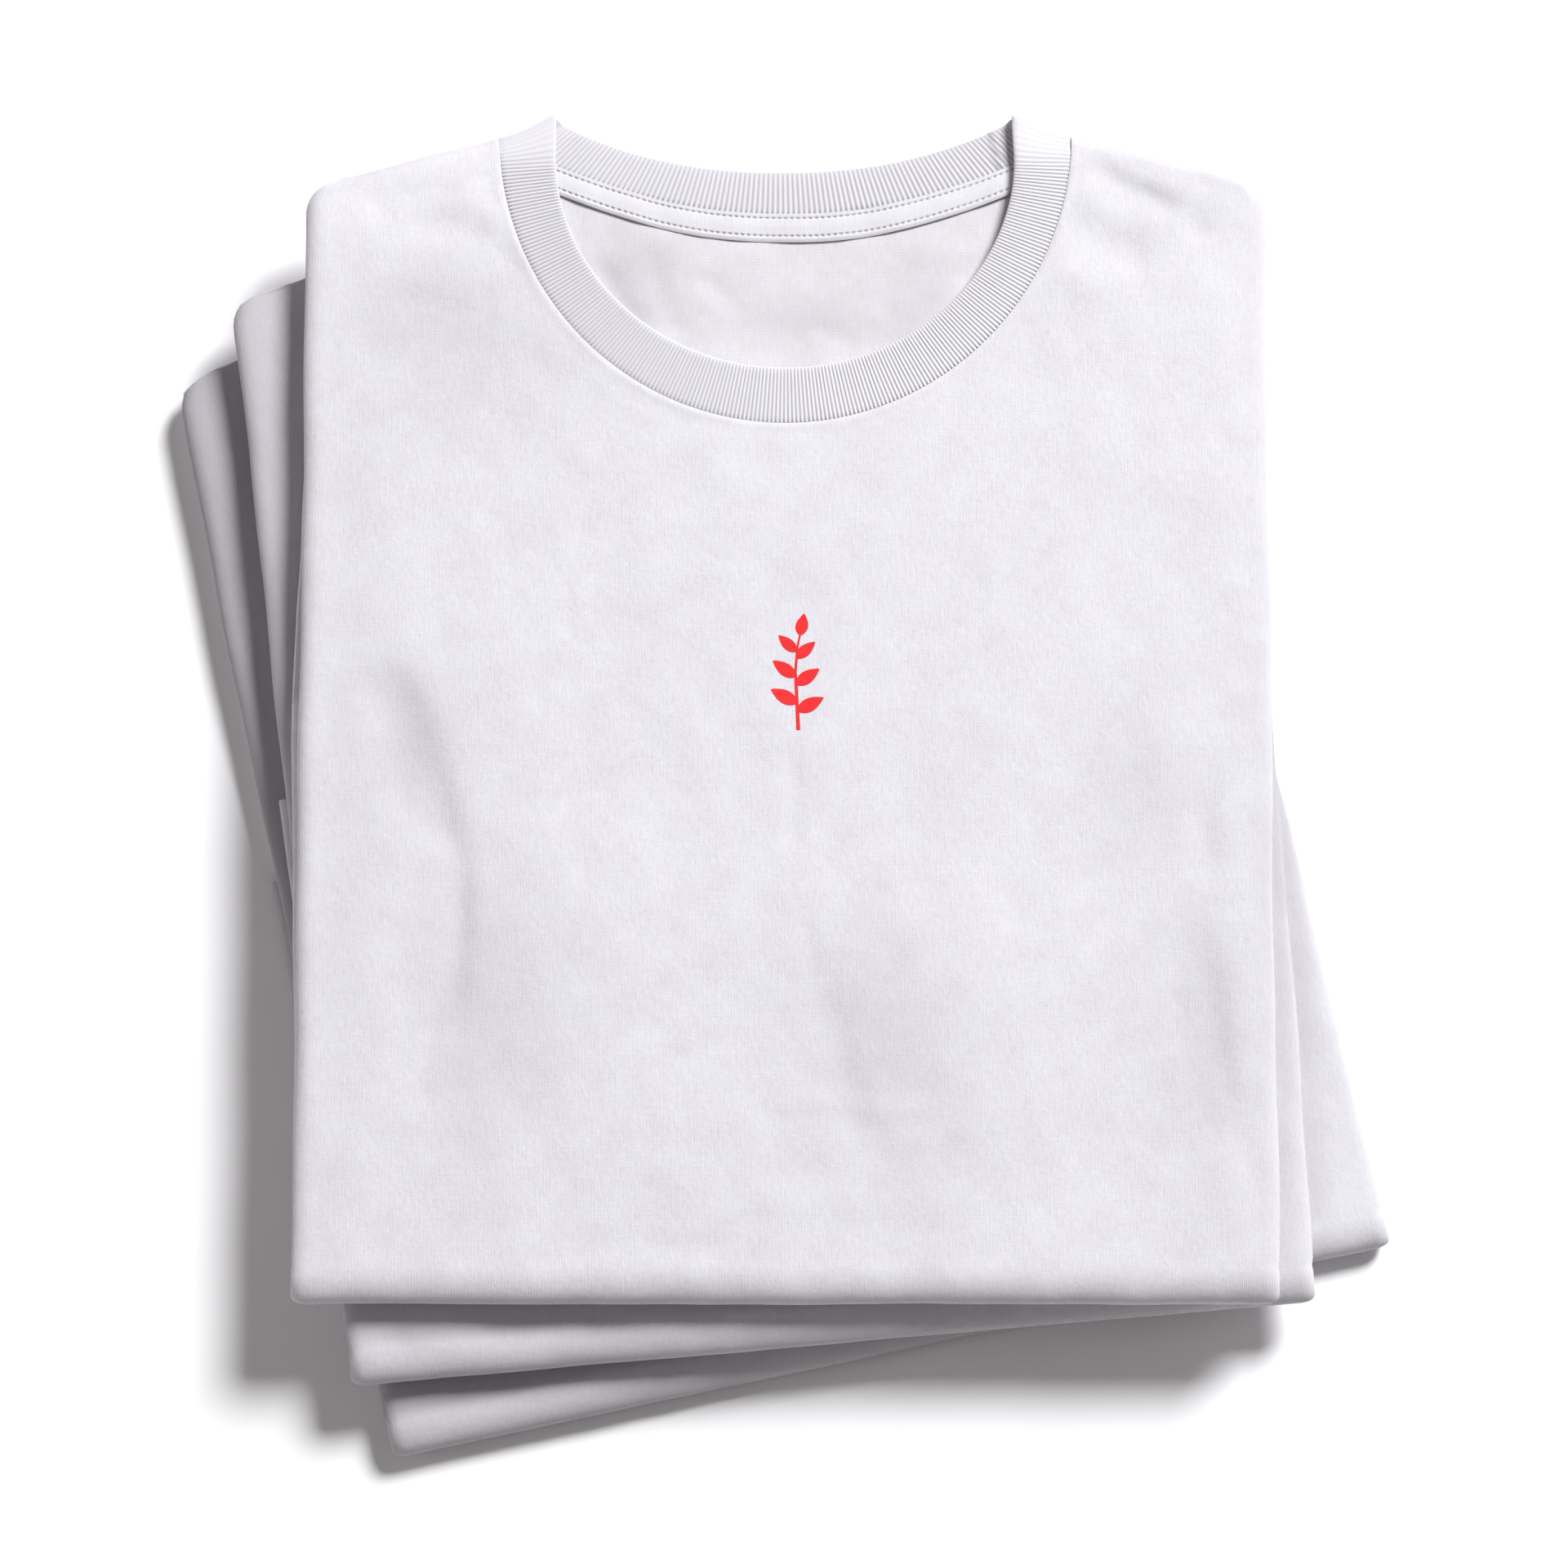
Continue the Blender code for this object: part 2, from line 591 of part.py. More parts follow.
def band_turn(last, side):
    """The sections where the band folds over itself at a shoulder, down (1) or up (-1)."""
    along = unit(last.free[0] - last.seam[0], last.free[1] - last.seam[1])
    out = (-along[1], along[0]) if along[0] > 0 else (along[1], -along[0])
    sections = []
    for angle in spread(0, math.pi, BAND_TURN_STEPS)[1:-1]:
        push = BAND_TURN * math.sin(angle)
        level = BAND_CREASE_LEVEL + side * BAND_TURN * math.cos(angle)
        seam, free = (
            (p[0] + out[0] * push, p[1] + out[1] * push) for p in (last.seam, last.free)
        )
        face = angle if side > 0 else math.pi + angle
        sections.append(Section(seam, free, level, level, face, out, 0.0, True))
    return sections


def band_sections(ribbed):
    """The whole ring: front half, right shoulder, back half, left shoulder."""
    front_levels = (BAND_FRONT_LEVEL, BAND_FRONT_LEVEL)
    back_levels = (BAND_BACK_LEVEL, BAND_BACK_EDGE_LEVEL)
    front = band_half((front_seam, front_free), BAND_FRONT_LENGTH, front_levels, 1, ribbed)
    back = band_half((back_seam, back_free), BAND_BACK_LENGTH, back_levels, -1, ribbed)
    return front + band_turn(front[-1], 1) + back + band_turn(back[-1], -1)


def band_side(shirt, cut, sign):
    """The seam and free points of one face of the band; sign is 1 for its outer face."""
    lift = sign * BAND_CLOTH / 2 * math.cos(cut.face)
    bulge = sign * BAND_CLOTH / 2 * abs(math.sin(cut.face))
    rib = cut.rib if lift > 0 else 0.0
    along = unit(cut.free[0] - cut.seam[0], cut.free[1] - cut.seam[1])
    points = []
    for plan, back_off, level, relief in (
        (cut.seam, 0.0, cut.seam_level, rib),
        (cut.free, BAND_EDGE, cut.free_level, rib / 2),
    ):
        u = plan[0] + cut.bulge[0] * bulge - along[0] * back_off
        v = plan[1] + cut.bulge[1] * bulge - along[1] * back_off
        points.append(place(shirt, u, v, level + lift + relief))
    return points


def stitch(shape, one, other):
    """Triangles between two chains of points, moving along whichever is behind."""
    i = j = 0
    while i < len(one) - 1 or j < len(other) - 1:
        ahead = (i + 0.5) / (len(one) - 1) > (j + 0.5) / (len(other) - 1)
        if j < len(other) - 1 and (ahead or i == len(one) - 1):
            shape.faces.new((one[i], other[j + 1], other[j]))
            j += 1
        else:
            shape.faces.new((one[i], one[i + 1], other[j]))
            i += 1


def make_band(shirt):
    """Neckband: a closed ring of rib. Each face has points only where it is ribbed or turns."""
    cuts = band_sections(shirt.fine)
    shape = bmesh.new()
    outer, inner, tips = {}, {}, {}
    for i, cut in enumerate(cuts):
        faces_up = math.cos(cut.face) > 0.5
        if cut.key or faces_up:
            outer[i] = [shape.verts.new(p) for p in band_side(shirt, cut, 1)]
        if cut.key or not faces_up:
            inner[i] = [shape.verts.new(p) for p in band_side(shirt, cut, -1)]
        if cut.key:
            tips[i] = shape.verts.new(place(shirt, *cut.free, cut.free_level))
    keys = [i for i, cut in enumerate(cuts) if cut.key]
    for start, stop in zip(keys, keys[1:] + keys[:1]):
        between = range(start, stop + 1) if stop > start else (start, *range(start + 1, len(cuts)), 0)
        top = [outer[i] for i in between if i in outer]
        under = [inner[i] for i in between if i in inner]
        for chain in (top, under):
            for a, b in zip(chain, chain[1:]):
                shape.faces.new((a[0], b[0], b[1], a[1]))
        tip = [tips[start], tips[stop]]
        stitch(shape, [p[0] for p in top], [p[0] for p in under])
        stitch(shape, [p[1] for p in top], tip)
        stitch(shape, tip, [p[1] for p in under])
    return finish(f"{shirt.name}_neckband", shape, "rib")


def make_tape(shirt):
    """Neck tape: a strip on the back panel's inside, along the back neckline."""
    upper, lower = [], []
    for u in spread(-TAPE_HALF, TAPE_HALF, grid_of(shirt).neck):
        end = back_end(shirt, u) - 2 * SEAM
        row = [(v, THICK - PAD + CLOTH + TAPE_LIFT) for v in (end - TAPE_WIDTH, end)]
        lower.append([place(shirt, u, v, w) for v, w in row])
        upper.append([place(shirt, u, v, w + TAPE_CLOTH) for v, w in row])
    return skin(f"{shirt.name}_neck_tape", upper, lower, "tape")


def sleeve_outline(shirt, side):
    """A folded-in sleeve from above: its corners, each rounded by a short curve."""
    outside = half_width(shirt, SLEEVE_START) - SLEEVE_INSET
    top = back_end(shirt, outside) - SHOULDER_ROLL
    peep = SLEEVE_PEEP if shirt.fine and side < 0 else 0.0
    inner_start, outer_start, straight, neck, inner_top = SLEEVE_RADII
    corners = (
        (SLEEVE_INNER, SLEEVE_START, inner_start),
        (outside + peep, SLEEVE_START, outer_start),
        (outside, top - SLEEVE_PEEP_END, straight),
        (outside, top, CORNER),
        (NECK_HALF + NOTCH, SLEEVE_TOP + NOTCH, neck),
        (SLEEVE_INNER, SLEEVE_TOP, inner_top),
    )
    points = []
    for i, (u, v, radius) in enumerate(corners):
        before, after = corners[i - 1], corners[(i + 1) % len(corners)]
        ahead, behind = unit(after[0] - u, after[1] - v), unit(before[0] - u, before[1] - v)
        for t in spread(0, 1, 2):
            near, far = (1 - t) ** 2 * radius, t**2 * radius
            points.append((u + behind[0] * near + ahead[0] * far, v + behind[1] * near + ahead[1] * far))
    return points


def make_sleeve(shirt, side):
    """A sleeve folded in under the body: a flattened tube with two layers at its edge."""
    outline = sleeve_outline(shirt, side)
    centre = [sum(p[k] for p in outline) / len(outline) for k in (0, 1)]
    reach = max(math.dist(p, centre) for p in outline)
    inner = [(0.0, reach * (1 - t)) for t in spread(*SLEEVE_SHARES, grid_of(shirt).ring)]
    edge = [(0.0, SLEEVE_LOBE), (0.25, 0.0), (0.5, SLEEVE_LOBE), (0.75, 0.0), (1.0, SLEEVE_LOBE)]
    profile = inner + edge + [(1.0, inset) for _, inset in reversed(inner)]
    rest = SLEEVE_GAP if shirt.level else 0.0
    shape = bmesh.new()
    rings = []
    for level, inset in profile:
        ring = []
        for u, v in outline:
            share = 1 - inset / reach
            u, v = centre[0] + (u - centre[0]) * share, centre[1] + (v - centre[1]) * share
            w = rest + level * (PAD - SLEEVE_GAP - rest)
            ring.append(shape.verts.new(place(shirt, side * u, v, w)))
        rings.append(ring)
    count = len(outline)
    for low, high in zip(rings, rings[1:]):
        for k in range(count):
            n = (k + 1) % count
            shape.faces.new((low[k], low[n], high[n], high[k]))
    shape.faces.new(rings[0])
    shape.faces.new(rings[-1])
    return finish(f"{shirt.name}_sleeve_{'right' if side > 0 else 'left'}", shape, "jersey")


def cloth_material(name, colour):
    """Matt cotton of the given colour."""
    material = bpy.data.materials.new(name)
    material.use_nodes = True
    shader = material.node_tree.nodes["Principled BSDF"]
    shader.inputs["Base Color"].default_value = (*colour, 1.0)
    shader.inputs["Roughness"].default_value = ROUGHNESS
    shader.inputs["Metallic"].default_value = 0.0
    return material


for old in list(bpy.data.objects):
    bpy.data.objects.remove(old)
COLLECTION = bpy.data.collections.new("folded_t_shirt_stack")
bpy.context.scene.collection.children.link(COLLECTION)
MATERIALS = {name: cloth_material(name, colour) for name, colour in COLOURS.items()}

for folded in SHIRTS:
    divisions = grid_of(folded)
    make_front(folded, divisions)
    make_back(folded, divisions)
    make_layers(folded, divisions)
    make_band(folded)
    make_tape(folded)
    for hand in (-1, 1):
        make_sleeve(folded, hand)
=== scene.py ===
# %% [markdown]
# # A stack of three folded T-shirts
#
# Three plain white crew-neck T-shirts lie one on the other, folded as a shop folds them: the
# sides and sleeves go under, the bottom third goes under too, and the collar stays on top. The
# stack is fanned, so a strip of each lower shirt shows. The solids of the model give the places
# and sizes. Here each of them gets its real cloth: knit, creases, ribs, hems and stitches.

# %% The frame
import collections
import math

import bpy
import numpy as np
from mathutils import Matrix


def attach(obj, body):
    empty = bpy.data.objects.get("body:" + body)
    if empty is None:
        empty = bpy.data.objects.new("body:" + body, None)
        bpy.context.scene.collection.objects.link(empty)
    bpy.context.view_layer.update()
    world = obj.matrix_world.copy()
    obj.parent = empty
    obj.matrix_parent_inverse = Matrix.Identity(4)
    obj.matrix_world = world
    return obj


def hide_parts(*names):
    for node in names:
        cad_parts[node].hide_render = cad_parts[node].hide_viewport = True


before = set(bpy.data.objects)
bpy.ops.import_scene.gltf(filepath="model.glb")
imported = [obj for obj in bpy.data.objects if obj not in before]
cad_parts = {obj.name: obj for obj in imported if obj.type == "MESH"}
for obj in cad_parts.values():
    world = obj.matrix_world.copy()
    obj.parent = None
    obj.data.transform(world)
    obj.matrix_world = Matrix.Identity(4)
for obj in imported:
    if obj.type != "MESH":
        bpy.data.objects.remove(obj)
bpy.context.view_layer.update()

# %% [markdown]
# ## Sizes
#
# A folded shirt is two pads thick: the body's pad lies on a lower pad, which is the
# folded-under bottom third in front and the folded-in sides behind. The cloth is jersey of
# 1 mm as it lies. These are the sizes that the solids have, so that the cloth lands on them. In
# a shirt, u runs across, v runs from the front fold to the shoulders and w runs up.

# %% Sizes of a folded shirt, in metres
CLOTH = 0.0010  # the jersey
BAND_CLOTH = 0.0018  # the neckband, which is double
TAPE_CLOTH = 0.0008
SEAM = 0.0003  # gap between two pieces that are sewn together
PAD = 0.0061
THICK = 2 * PAD + SEAM
SIDE_ROLL = 0.0060  # a side starts to roll over this far from its edge
ROLL_ARC = 0.0073  # cloth in a quarter of that roll
FRONT_ROLL = 0.0075  # the lower face ends and the front fold starts here
FRONT_DROOP = 0.0125  # the upper face starts to drop this far from the front fold
BEND_ARC = math.pi / 2 * (THICK / 2 + FRONT_DROOP) / 1.7  # cloth in half of the front fold
SHOULDER_ROLL = 0.0060
FLAP = 0.235  # reach of the folded-under third
FLAP_SKEW = 0.014  # it is folded slightly askew, so its edge peeps out on the left
NECK_HALF = 0.1115  # half the neckline's width at the shoulders
NECK_TOP = 0.4637
NECK_DROP = 0.1190  # from the shoulders to the front of the neckline
BACK_SEAM = 0.4311  # the back neckline at its middle
NOTCH = 0.010  # the hidden layers stay this far from the neckline
SHOULDER_SLOPE = 0.245
CORNER = 0.016  # radius of a shoulder corner, seen from above
NECK_DIP = 0.00025  # the panel dips into its neckline seam
SEAM_ROLL = 0.009  # the neckline seam rolls over only this close to the shoulder
WRAP = (172, 95, 83)  # degrees round the side fold: along it, at the bend, at the shoulder
WRAP_EASE = 0.014  # the turn round the side fold changes over this length
LEVEL_STEP = THICK + 0.0004
SAG_AT, SAG = 0.040, 0.0012  # this far out from what carries it, the cloth hangs this much
COVER_EDGE = 0.009  # a shirt's cover starts this far inside its edge
BESIDE_REACH = 0.013

Shirt = collections.namedtuple("Shirt", "name x y turn front_width shoulder_width length level")
STACK_X, STACK_Y = 0.00268, -0.20976
BOTTOM, MIDDLE, TOP = SHIRTS = (
    Shirt("bottom", STACK_X + 0.0408, STACK_Y - 0.0136, 12.2, 0.3867, 0.3839, 0.979, 0),
    Shirt("middle", STACK_X + 0.0186, STACK_Y - 0.0130, 5.1, 0.3651, 0.3962, 0.981, 1),
    Shirt("top", STACK_X, STACK_Y, 0.0, 0.3706, 0.3726, 1.0, 2),
)
print("shirts, bottom to top:", [f"{s.name} {s.turn} deg" for s in SHIRTS])

# %% [markdown]
# ## From a flat shirt to its place in the stack
#
# Every piece is worked out on its own flat shirt and then turned and lifted to its place. Where
# a lower shirt doesn't carry it, the cloth sags a little, as it does in the solids.


# %% Placing points
def smooth(x):
    """0 below 0, 1 above 1, and a soft step between."""
    x = np.clip(x, 0.0, 1.0)
    return x * x * (3 - 2 * x)


def half_width(shirt, v):
    """Half the folded shirt's width, to the outside of its side fold."""
    share = np.clip(np.asarray(v) / NECK_TOP, 0.0, 1.0)
    return (shirt.front_width + (shirt.shoulder_width - shirt.front_width) * share) / 2


def on_shirt(shirt, x, y):
    """Where a point of the stack lies on a shirt, seen from above."""
    turn = math.radians(shirt.turn)
    dx, dy = x - shirt.x, y - shirt.y
    u = dx * math.cos(turn) + dy * math.sin(turn)
    return u, (dy * math.cos(turn) - dx * math.sin(turn)) / shirt.length


def bell(x, width=1.0):
    """1 at 0, and almost nothing at twice the width."""
    return np.exp(-((x / width) ** 2))


def margins(shirt, x, y):
    """How far a point lies inside a shirt's sides, its front fold and its shoulder line."""
    u, v = on_shirt(shirt, x, y)
    shoulder = NECK_TOP - SHOULDER_SLOPE * (half_width(shirt, v) - NECK_HALF)
    return half_width(shirt, v) - np.abs(u), v, shoulder - v


def place(shirt, u, v, w):
    """The points in the stack's frame, rows by columns by three."""
    turn = math.radians(shirt.turn)
    v = v * shirt.length
    x = shirt.x + u * math.cos(turn) - v * math.sin(turn)
    y = shirt.y + u * math.sin(turn) + v * math.cos(turn)
    z = shirt.level * LEVEL_STEP + w
    for lower in SHIRTS[: shirt.level]:
        side, front, back = margins(lower, x, y)
        out = np.hypot(np.minimum(side, 0), np.minimum(np.minimum(front, back), 0))
        z = z - SAG * (out / SAG_AT) ** 2
    return np.stack(np.broadcast_arrays(x, y, z), axis=-1)


def place_all(shirt, flat):
    """The same for an array that keeps u, v and w together, as its last axis."""
    return place(shirt, *np.moveaxis(np.asarray(flat), -1, 0))


def uncovered(shirt, x, y):
    """1 where nothing lies on a shirt, 0 well under a shirt above it."""
    free = np.ones_like(x)
    for upper in SHIRTS[shirt.level + 1 :]:
        free = free * smooth(1 - np.min(margins(upper, x, y), axis=0) / COVER_EDGE)
    return free


def beside(shirt, x, y):
    """1 against the edge of a shirt above, 0 from 13 mm away."""
    near = np.zeros_like(x)
    for upper in SHIRTS[shirt.level + 1 :]:
        outside = -np.min(margins(upper, x, y), axis=0)
        near = np.maximum(near, smooth(1 - outside / BESIDE_REACH))
    return near


# %% [markdown]
# ## Creases and ripples
#
# Folded jersey is never flat. It has a few long creases that were pressed in when the shirt was
# folded, and many shallow ripples between them. The creases are given one by one, each as a path
# over the flat shirt, with its own widths and height, all in millimetres. Height is below zero
# for a trough. The ripples are sums of long waves of seeded directions, so they come out the
# same at each run.

# %% The creases
# For each: how wide it is to the left of or below its path, how wide to the right of or above
# it, its height, and its path
CREASES = {
    "top": (
        (12, 5.5, -1.20, ((-162, 251), (-150, 241), (-141, 227), (-134, 207), (-130, 187),
                          (-131, 166))),
        (9, 6, -0.70, ((-167, 247), (-157, 236), (-147, 223), (-140, 205), (-136, 187))),
        (5, 3, -0.35, ((-150, 216), (-145, 201), (-142, 185))),
        (8, 4, -1.10, ((-127, 196), (-125, 180), (-123, 161), (-123, 140), (-124, 118),
                       (-125, 96))),
        (4, 3, -0.35, ((-131, 116), (-134, 94), (-138, 70))),
        (26, 40, 0.9, ((-95, 200), (-89, 162), (-89, 120), (-99, 67))),
        (4, 2.4, -0.6, ((2, 218), (4, 200), (4, 184), (4, 169))),
        (3, 2.2, -0.35, ((7, 155), (9, 139), (12, 119))),
        (20, 34, 0.85, ((40, 159), (55, 136), (69, 104), (75, 76), (76, 48))),
        (8, 5, -0.55, ((14, 123), (22, 95), (30, 67), (42, 52))),
        (3, 5, 0.28, ((-10, 75), (15, 76), (38, 73), (61, 71))),
        (3, 4, 0.24, ((21, 60), (43, 61), (64, 57))),
        (5, 8, 0.32, ((-25, 36), (12, 38), (49, 36), (82, 38))),
        (5, 6, -0.32, ((-83, 20), (-50, 21), (-17, 19))),
        (10, 22, 0.7, ((138, 236), (147, 200), (148, 162), (145, 130))),
        (7, 5, -0.6, ((162, 220), (160, 187), (163, 155))),
        (9, 5, -0.9, ((159, 146), (162, 111), (167, 73), (174, 41))),
        (5, 4, -0.5, ((147, 136), (151, 104), (158, 73), (165, 48))),
        (5, 4, -0.45, ((177, 89), (174, 60), (179, 32))),
        (7, 4, -1.25, ((117, 452), (130, 443), (143, 437), (155, 428))),
        (6, 5, -0.75, ((146, 438), (157, 430), (165, 418))),
        (12, 7, -0.8, ((106, 437), (117, 423), (129, 416), (145, 415))),
        (8, 14, 0.55, ((91, 407), (117, 402), (139, 404))),
        (9, 6, -0.7, ((-166, 431), (-150, 438), (-134, 440), (-124, 438))),
        (9, 5, -1.1, ((-153, 423), (-135, 428), (-121, 424), (-108, 414), (-98, 405))),
        (5, 3.5, -0.5, ((-117, 449), (-116, 441), (-113, 434))),
        (10, 7, -0.55, ((-151, 401), (-140, 394), (-128, 384), (-117, 370))),
        (3, 2, -0.35, ((-129, 396), (-126, 392), (-124, 388))),
        (8, 12, 0.4, ((-117, 383), (-99, 384), (-83, 380))),
        (9, 12, -0.4, ((-171, 377), (-146, 370), (-127, 360))),
        (12, 20, 0.45, ((103, 344), (138, 331), (163, 304))),
        (2.5, 2, -0.2, ((165, 344), (170, 337), (171, 329))),
        (2.5, 2, -0.22, ((-85, 285), (-82, 272), (-83, 255))),
        (3, 2.5, -0.24, ((76, 288), (74, 272), (76, 252))),
        (8, 14, 0.3, ((-45, 344), (-19, 317), (-26, 285))),
    ),
    "inside": (
        (5, 3, -0.8, ((-74, 412), (-66, 400), (-58, 388), (-54, 380))),
        (4, 3, -0.7, ((-46, 418), (-50, 404), (-46, 392), (-38, 378))),
        (4, 3, -0.5, ((-33, 408), (-24, 397), (-16, 388))),
        (5, 4, -0.6, ((30, 390), (44, 402), (52, 414))),
        (4, 3, -0.5, ((8, 388), (20, 380), (30, 378))),
        (6, 4, -0.6, ((70, 428), (74, 414), (68, 400))),
        (5, 3, -0.4, ((-82, 430), (-84, 418), (-80, 404))),
    ),
    "middle": (
        (5, 3, -0.70, ((-181, 330), (-176, 250), (-178, 190))),
        (5, 3, -0.55, ((-172, 150), (-177, 110), (-174, 60))),
        (6, 4, -0.70, ((-150, 21), (-90, 16), (-30, 20))),
        (5, 3, -0.45, ((20, 14), (80, 18), (120, 13))),
        (8, 5, -0.80, ((158, 95), (168, 60), (172, 26))),
        (6, 4, -0.50, ((150, 50), (162, 34), (168, 18))),
    ),
    "bottom": (
        (6, 4, -0.75, ((-182, 350), (-176, 280), (-180, 210))),
        (6, 3, -0.60, ((-171, 160), (-178, 110), (-174, 60))),
        (7, 5, -0.80, ((-160, 24), (-100, 20), (-40, 24))),
        (6, 4, -0.50, ((0, 20), (60, 26), (110, 18))),
        (8, 5, -0.90, ((140, 130), (158, 85), (164, 40))),
        (7, 4, -0.60, ((165, 150), (175, 100), (172, 60))),
        (6, 4, -0.55, ((120, 48), (142, 34), (160, 16))),
    ),
}
PAINTED_SHADE_PATCHES = {  # broad patches of painted shade: their middle u and v, how wide, how long and how grey
    "top": (
        (-142, 216, 16, 34, 0.25),
        (-122, 120, 18, 66, 0.23),
        (-98, 100, 26, 50, 0.12),
        (30, 104, 32, 46, 0.20),
        (56, 70, 34, 34, 0.10),
        (160, 100, 16, 80, 0.23),
        (136, 206, 20, 40, 0.12),
        (-128, 380, 44, 40, 0.23),
        (-20, 46, 66, 24, 0.04),
        (-166, 190, 12, 130, 0.12),
        (150, 428, 26, 14, 0.15),
    ),
    "inside": (
        (-60, 398, 20, 24, 0.30),
        (10, 388, 36, 12, 0.28),
        (56, 398, 18, 22, 0.25),
        (0, 410, 120, 40, 0.13),
    ),
}
PAINTED_FOLD_SHADE = (0.22, 0.32)  # painted shade on the side folds, left and right
PAINTED_STRIP_SHADE = {"bottom": 0.80, "middle": 0.52, "top": 0.0}  # painted shade on the lower shirts' left and lower strips
PAINTED_CONTACT_SHADE = 0.40  # painted shade on the lower shirts against the edge of the next one
STRIP, STRIP_FADE = 0.150, 0.030  # the painted shade against the next shirt is for the right strip from here on, the other painted strip shade for the rest
TROUGH_SHADE_DEPTH, TROUGH_SHADE_RATE = 0.0003, 75  # deeper than this a trough gets painted shade, by this much a metre
TAPERED = 0.22  # share of a crease's length that tapers, at each end
WAVES = 14  # for each size of ripple
RIPPLES = (  # across, along and height, in millimetres
    (140, 200, 0.40),
    (60, 80, 0.14),
    (28, 34, 0.075),
    (14, 16, 0.040),
    (7, 8, 0.020),
)


def ripples(u, v, seed):
    """Shallow waves over a sheet, from its cloth coordinates in metres."""
    draw = np.random.RandomState(seed)
    height = np.zeros_like(u)
    for across, along, depth in RIPPLES:
        for _ in range(WAVES):
            lean = draw.normal(0, 1, 2)
            phase = draw.uniform(0, 2 * math.pi)
            wave = u * lean[0] / across + v * lean[1] / along
            height += depth / WAVES**0.5 * np.cos(2000 * math.pi * wave + phase)
    return height / 1000


def reached_along(line):
    """The distance along a line of points, at each of them."""
    return np.concatenate(([0.0], np.cumsum(np.linalg.norm(np.diff(line, axis=0), axis=1))))


def crease_height(crease, u, v):
    """A crease's height over a sheet: its own slope on each side, and tapered ends."""
    width_below, width_above, height, path = crease
    path = np.array(path) / 1000
    steps = np.linalg.norm(np.diff(path, axis=0), axis=1)
    reached = reached_along(path)
    nearest, where, above = np.full(u.shape, 9.0), np.zeros(u.shape), np.zeros(u.shape, bool)
    for a, b, start, step in zip(path, path[1:], reached, steps):
        du, dv = u - a[0], v - a[1]
        t = np.clip((du * (b - a)[0] + dv * (b - a)[1]) / step**2, 0, 1)
        gap = np.hypot(du - t * (b - a)[0], dv - t * (b - a)[1])
        closer = gap < nearest
        where = np.where(closer, (start + t * step) / reached[-1], where)
        above = np.where(closer, (b - a)[0] * dv - (b - a)[1] * du > 0, above)
        nearest = np.where(closer, gap, nearest)
    slope = bell(nearest * 1000, np.where(above, width_above, width_below))
    taper = smooth(where / TAPERED) * smooth((1 - where) / TAPERED)
    uneven = 0.85 + 0.15 * np.cos(9 * where + width_below)
    return height / 1000 * slope * taper * uneven


def painted_shade(name, u, v, height):
    """Painted shade on the cloth, from 0 to 1: in troughs deeper than a limit, and in broad
    patches; height is its relief there.
    """
    painted_shade_amount = TROUGH_SHADE_RATE * np.maximum(0.0, -height - TROUGH_SHADE_DEPTH)
    for middle_u, middle_v, wide, long, greyer in PAINTED_SHADE_PATCHES.get(name, ()):
        painted_shade_amount += greyer * bell(u * 1000 - middle_u, wide) * bell(v * 1000 - middle_v, long)
    return painted_shade_amount


def relief(shirt, u, v):
    """Height of the creases and ripples of a shirt's front panel, over its cloth."""
    height = ripples(u, v, 11 + shirt.level)
    for crease in CREASES[shirt.name]:
        height = height + crease_height(crease, u, v)
    return height


print("creases:", {name: len(creases) for name, creases in CREASES.items()})

# %% [markdown]
# ## Colours and materials
#
# White cotton jersey is matt: light goes into the fibres and comes out in all directions, so it
# has no highlight, only a faint sheen where the fuzz stands up. Its knit shows as columns of
# small V stitches, the wales, about 1 mm apart. The colour wanders a little between a cool and a
# warm white. One function turns a hex value to the linear colour that Blender wants, one starts
# a material, and one adds a node with its settings and its links.


# %% Helpers for materials
def linear(hex_value):
    """A colour given as RRGGBB, in Blender's linear values."""
    parts = [int(hex_value[i : i + 2], 16) / 255 for i in (0, 2, 4)]
    return (*[c / 12.92 if c <= 0.04045 else ((c + 0.055) / 1.055) ** 2.4 for c in parts], 1.0)


def new_material(name, values):
    """A material with these values in its shader; gives it with its tree and its shader."""
    material = bpy.data.materials.new(name)
    material.use_nodes = True
    shader = material.node_tree.nodes["Principled BSDF"]
    for socket, value in values.items():
        shader.inputs[socket].default_value = value
    return material, material.node_tree, shader


def add_node(tree, kind, settings=None, links=None):
    """Adds a node. Settings and links are for a socket's number or name, or for the node."""
    node = tree.nodes.new(kind)
    for key, value in (settings or {}).items():
        if isinstance(key, int) or key in node.inputs:
            node.inputs[key].default_value = value
        else:
            setattr(node, key, value)
    for key, source in (links or {}).items():
        tree.links.new(source, node.inputs[key])
    return node


# %% [markdown]
# The knit is drawn by arithmetic on the cloth's own UV map, which is in metres of cloth, so the
# wales follow the folds. Across a wale the loop's two legs lean towards each other; along it,
# they repeat at each course. The bump is a tenth of a millimetre high. The reverse of jersey
# shows the loops' heads instead, as fine cross ridges, so the same arithmetic is used with its
# lean taken out. The rib and the tape are knitted finer than the jersey. Shade is also painted
# into the colour: a number kept at each vertex says how far the white turns to a grey, in the
# creases' troughs, in broad patches, on the folds, on the lower shirts' strips, between the ribs
# and at the stitches.


# %% Knitted cotton
# The grey that painted shade turns the white towards.
PAINTED_SHADE_WHITE = "A6A2A8"
MATT_FIBRE = {"Roughness": 0.92, "IOR": 1.45, "Specular IOR Level": 0.15, "Sheen Weight": 0.08,
              "Sheen Roughness": 0.6}


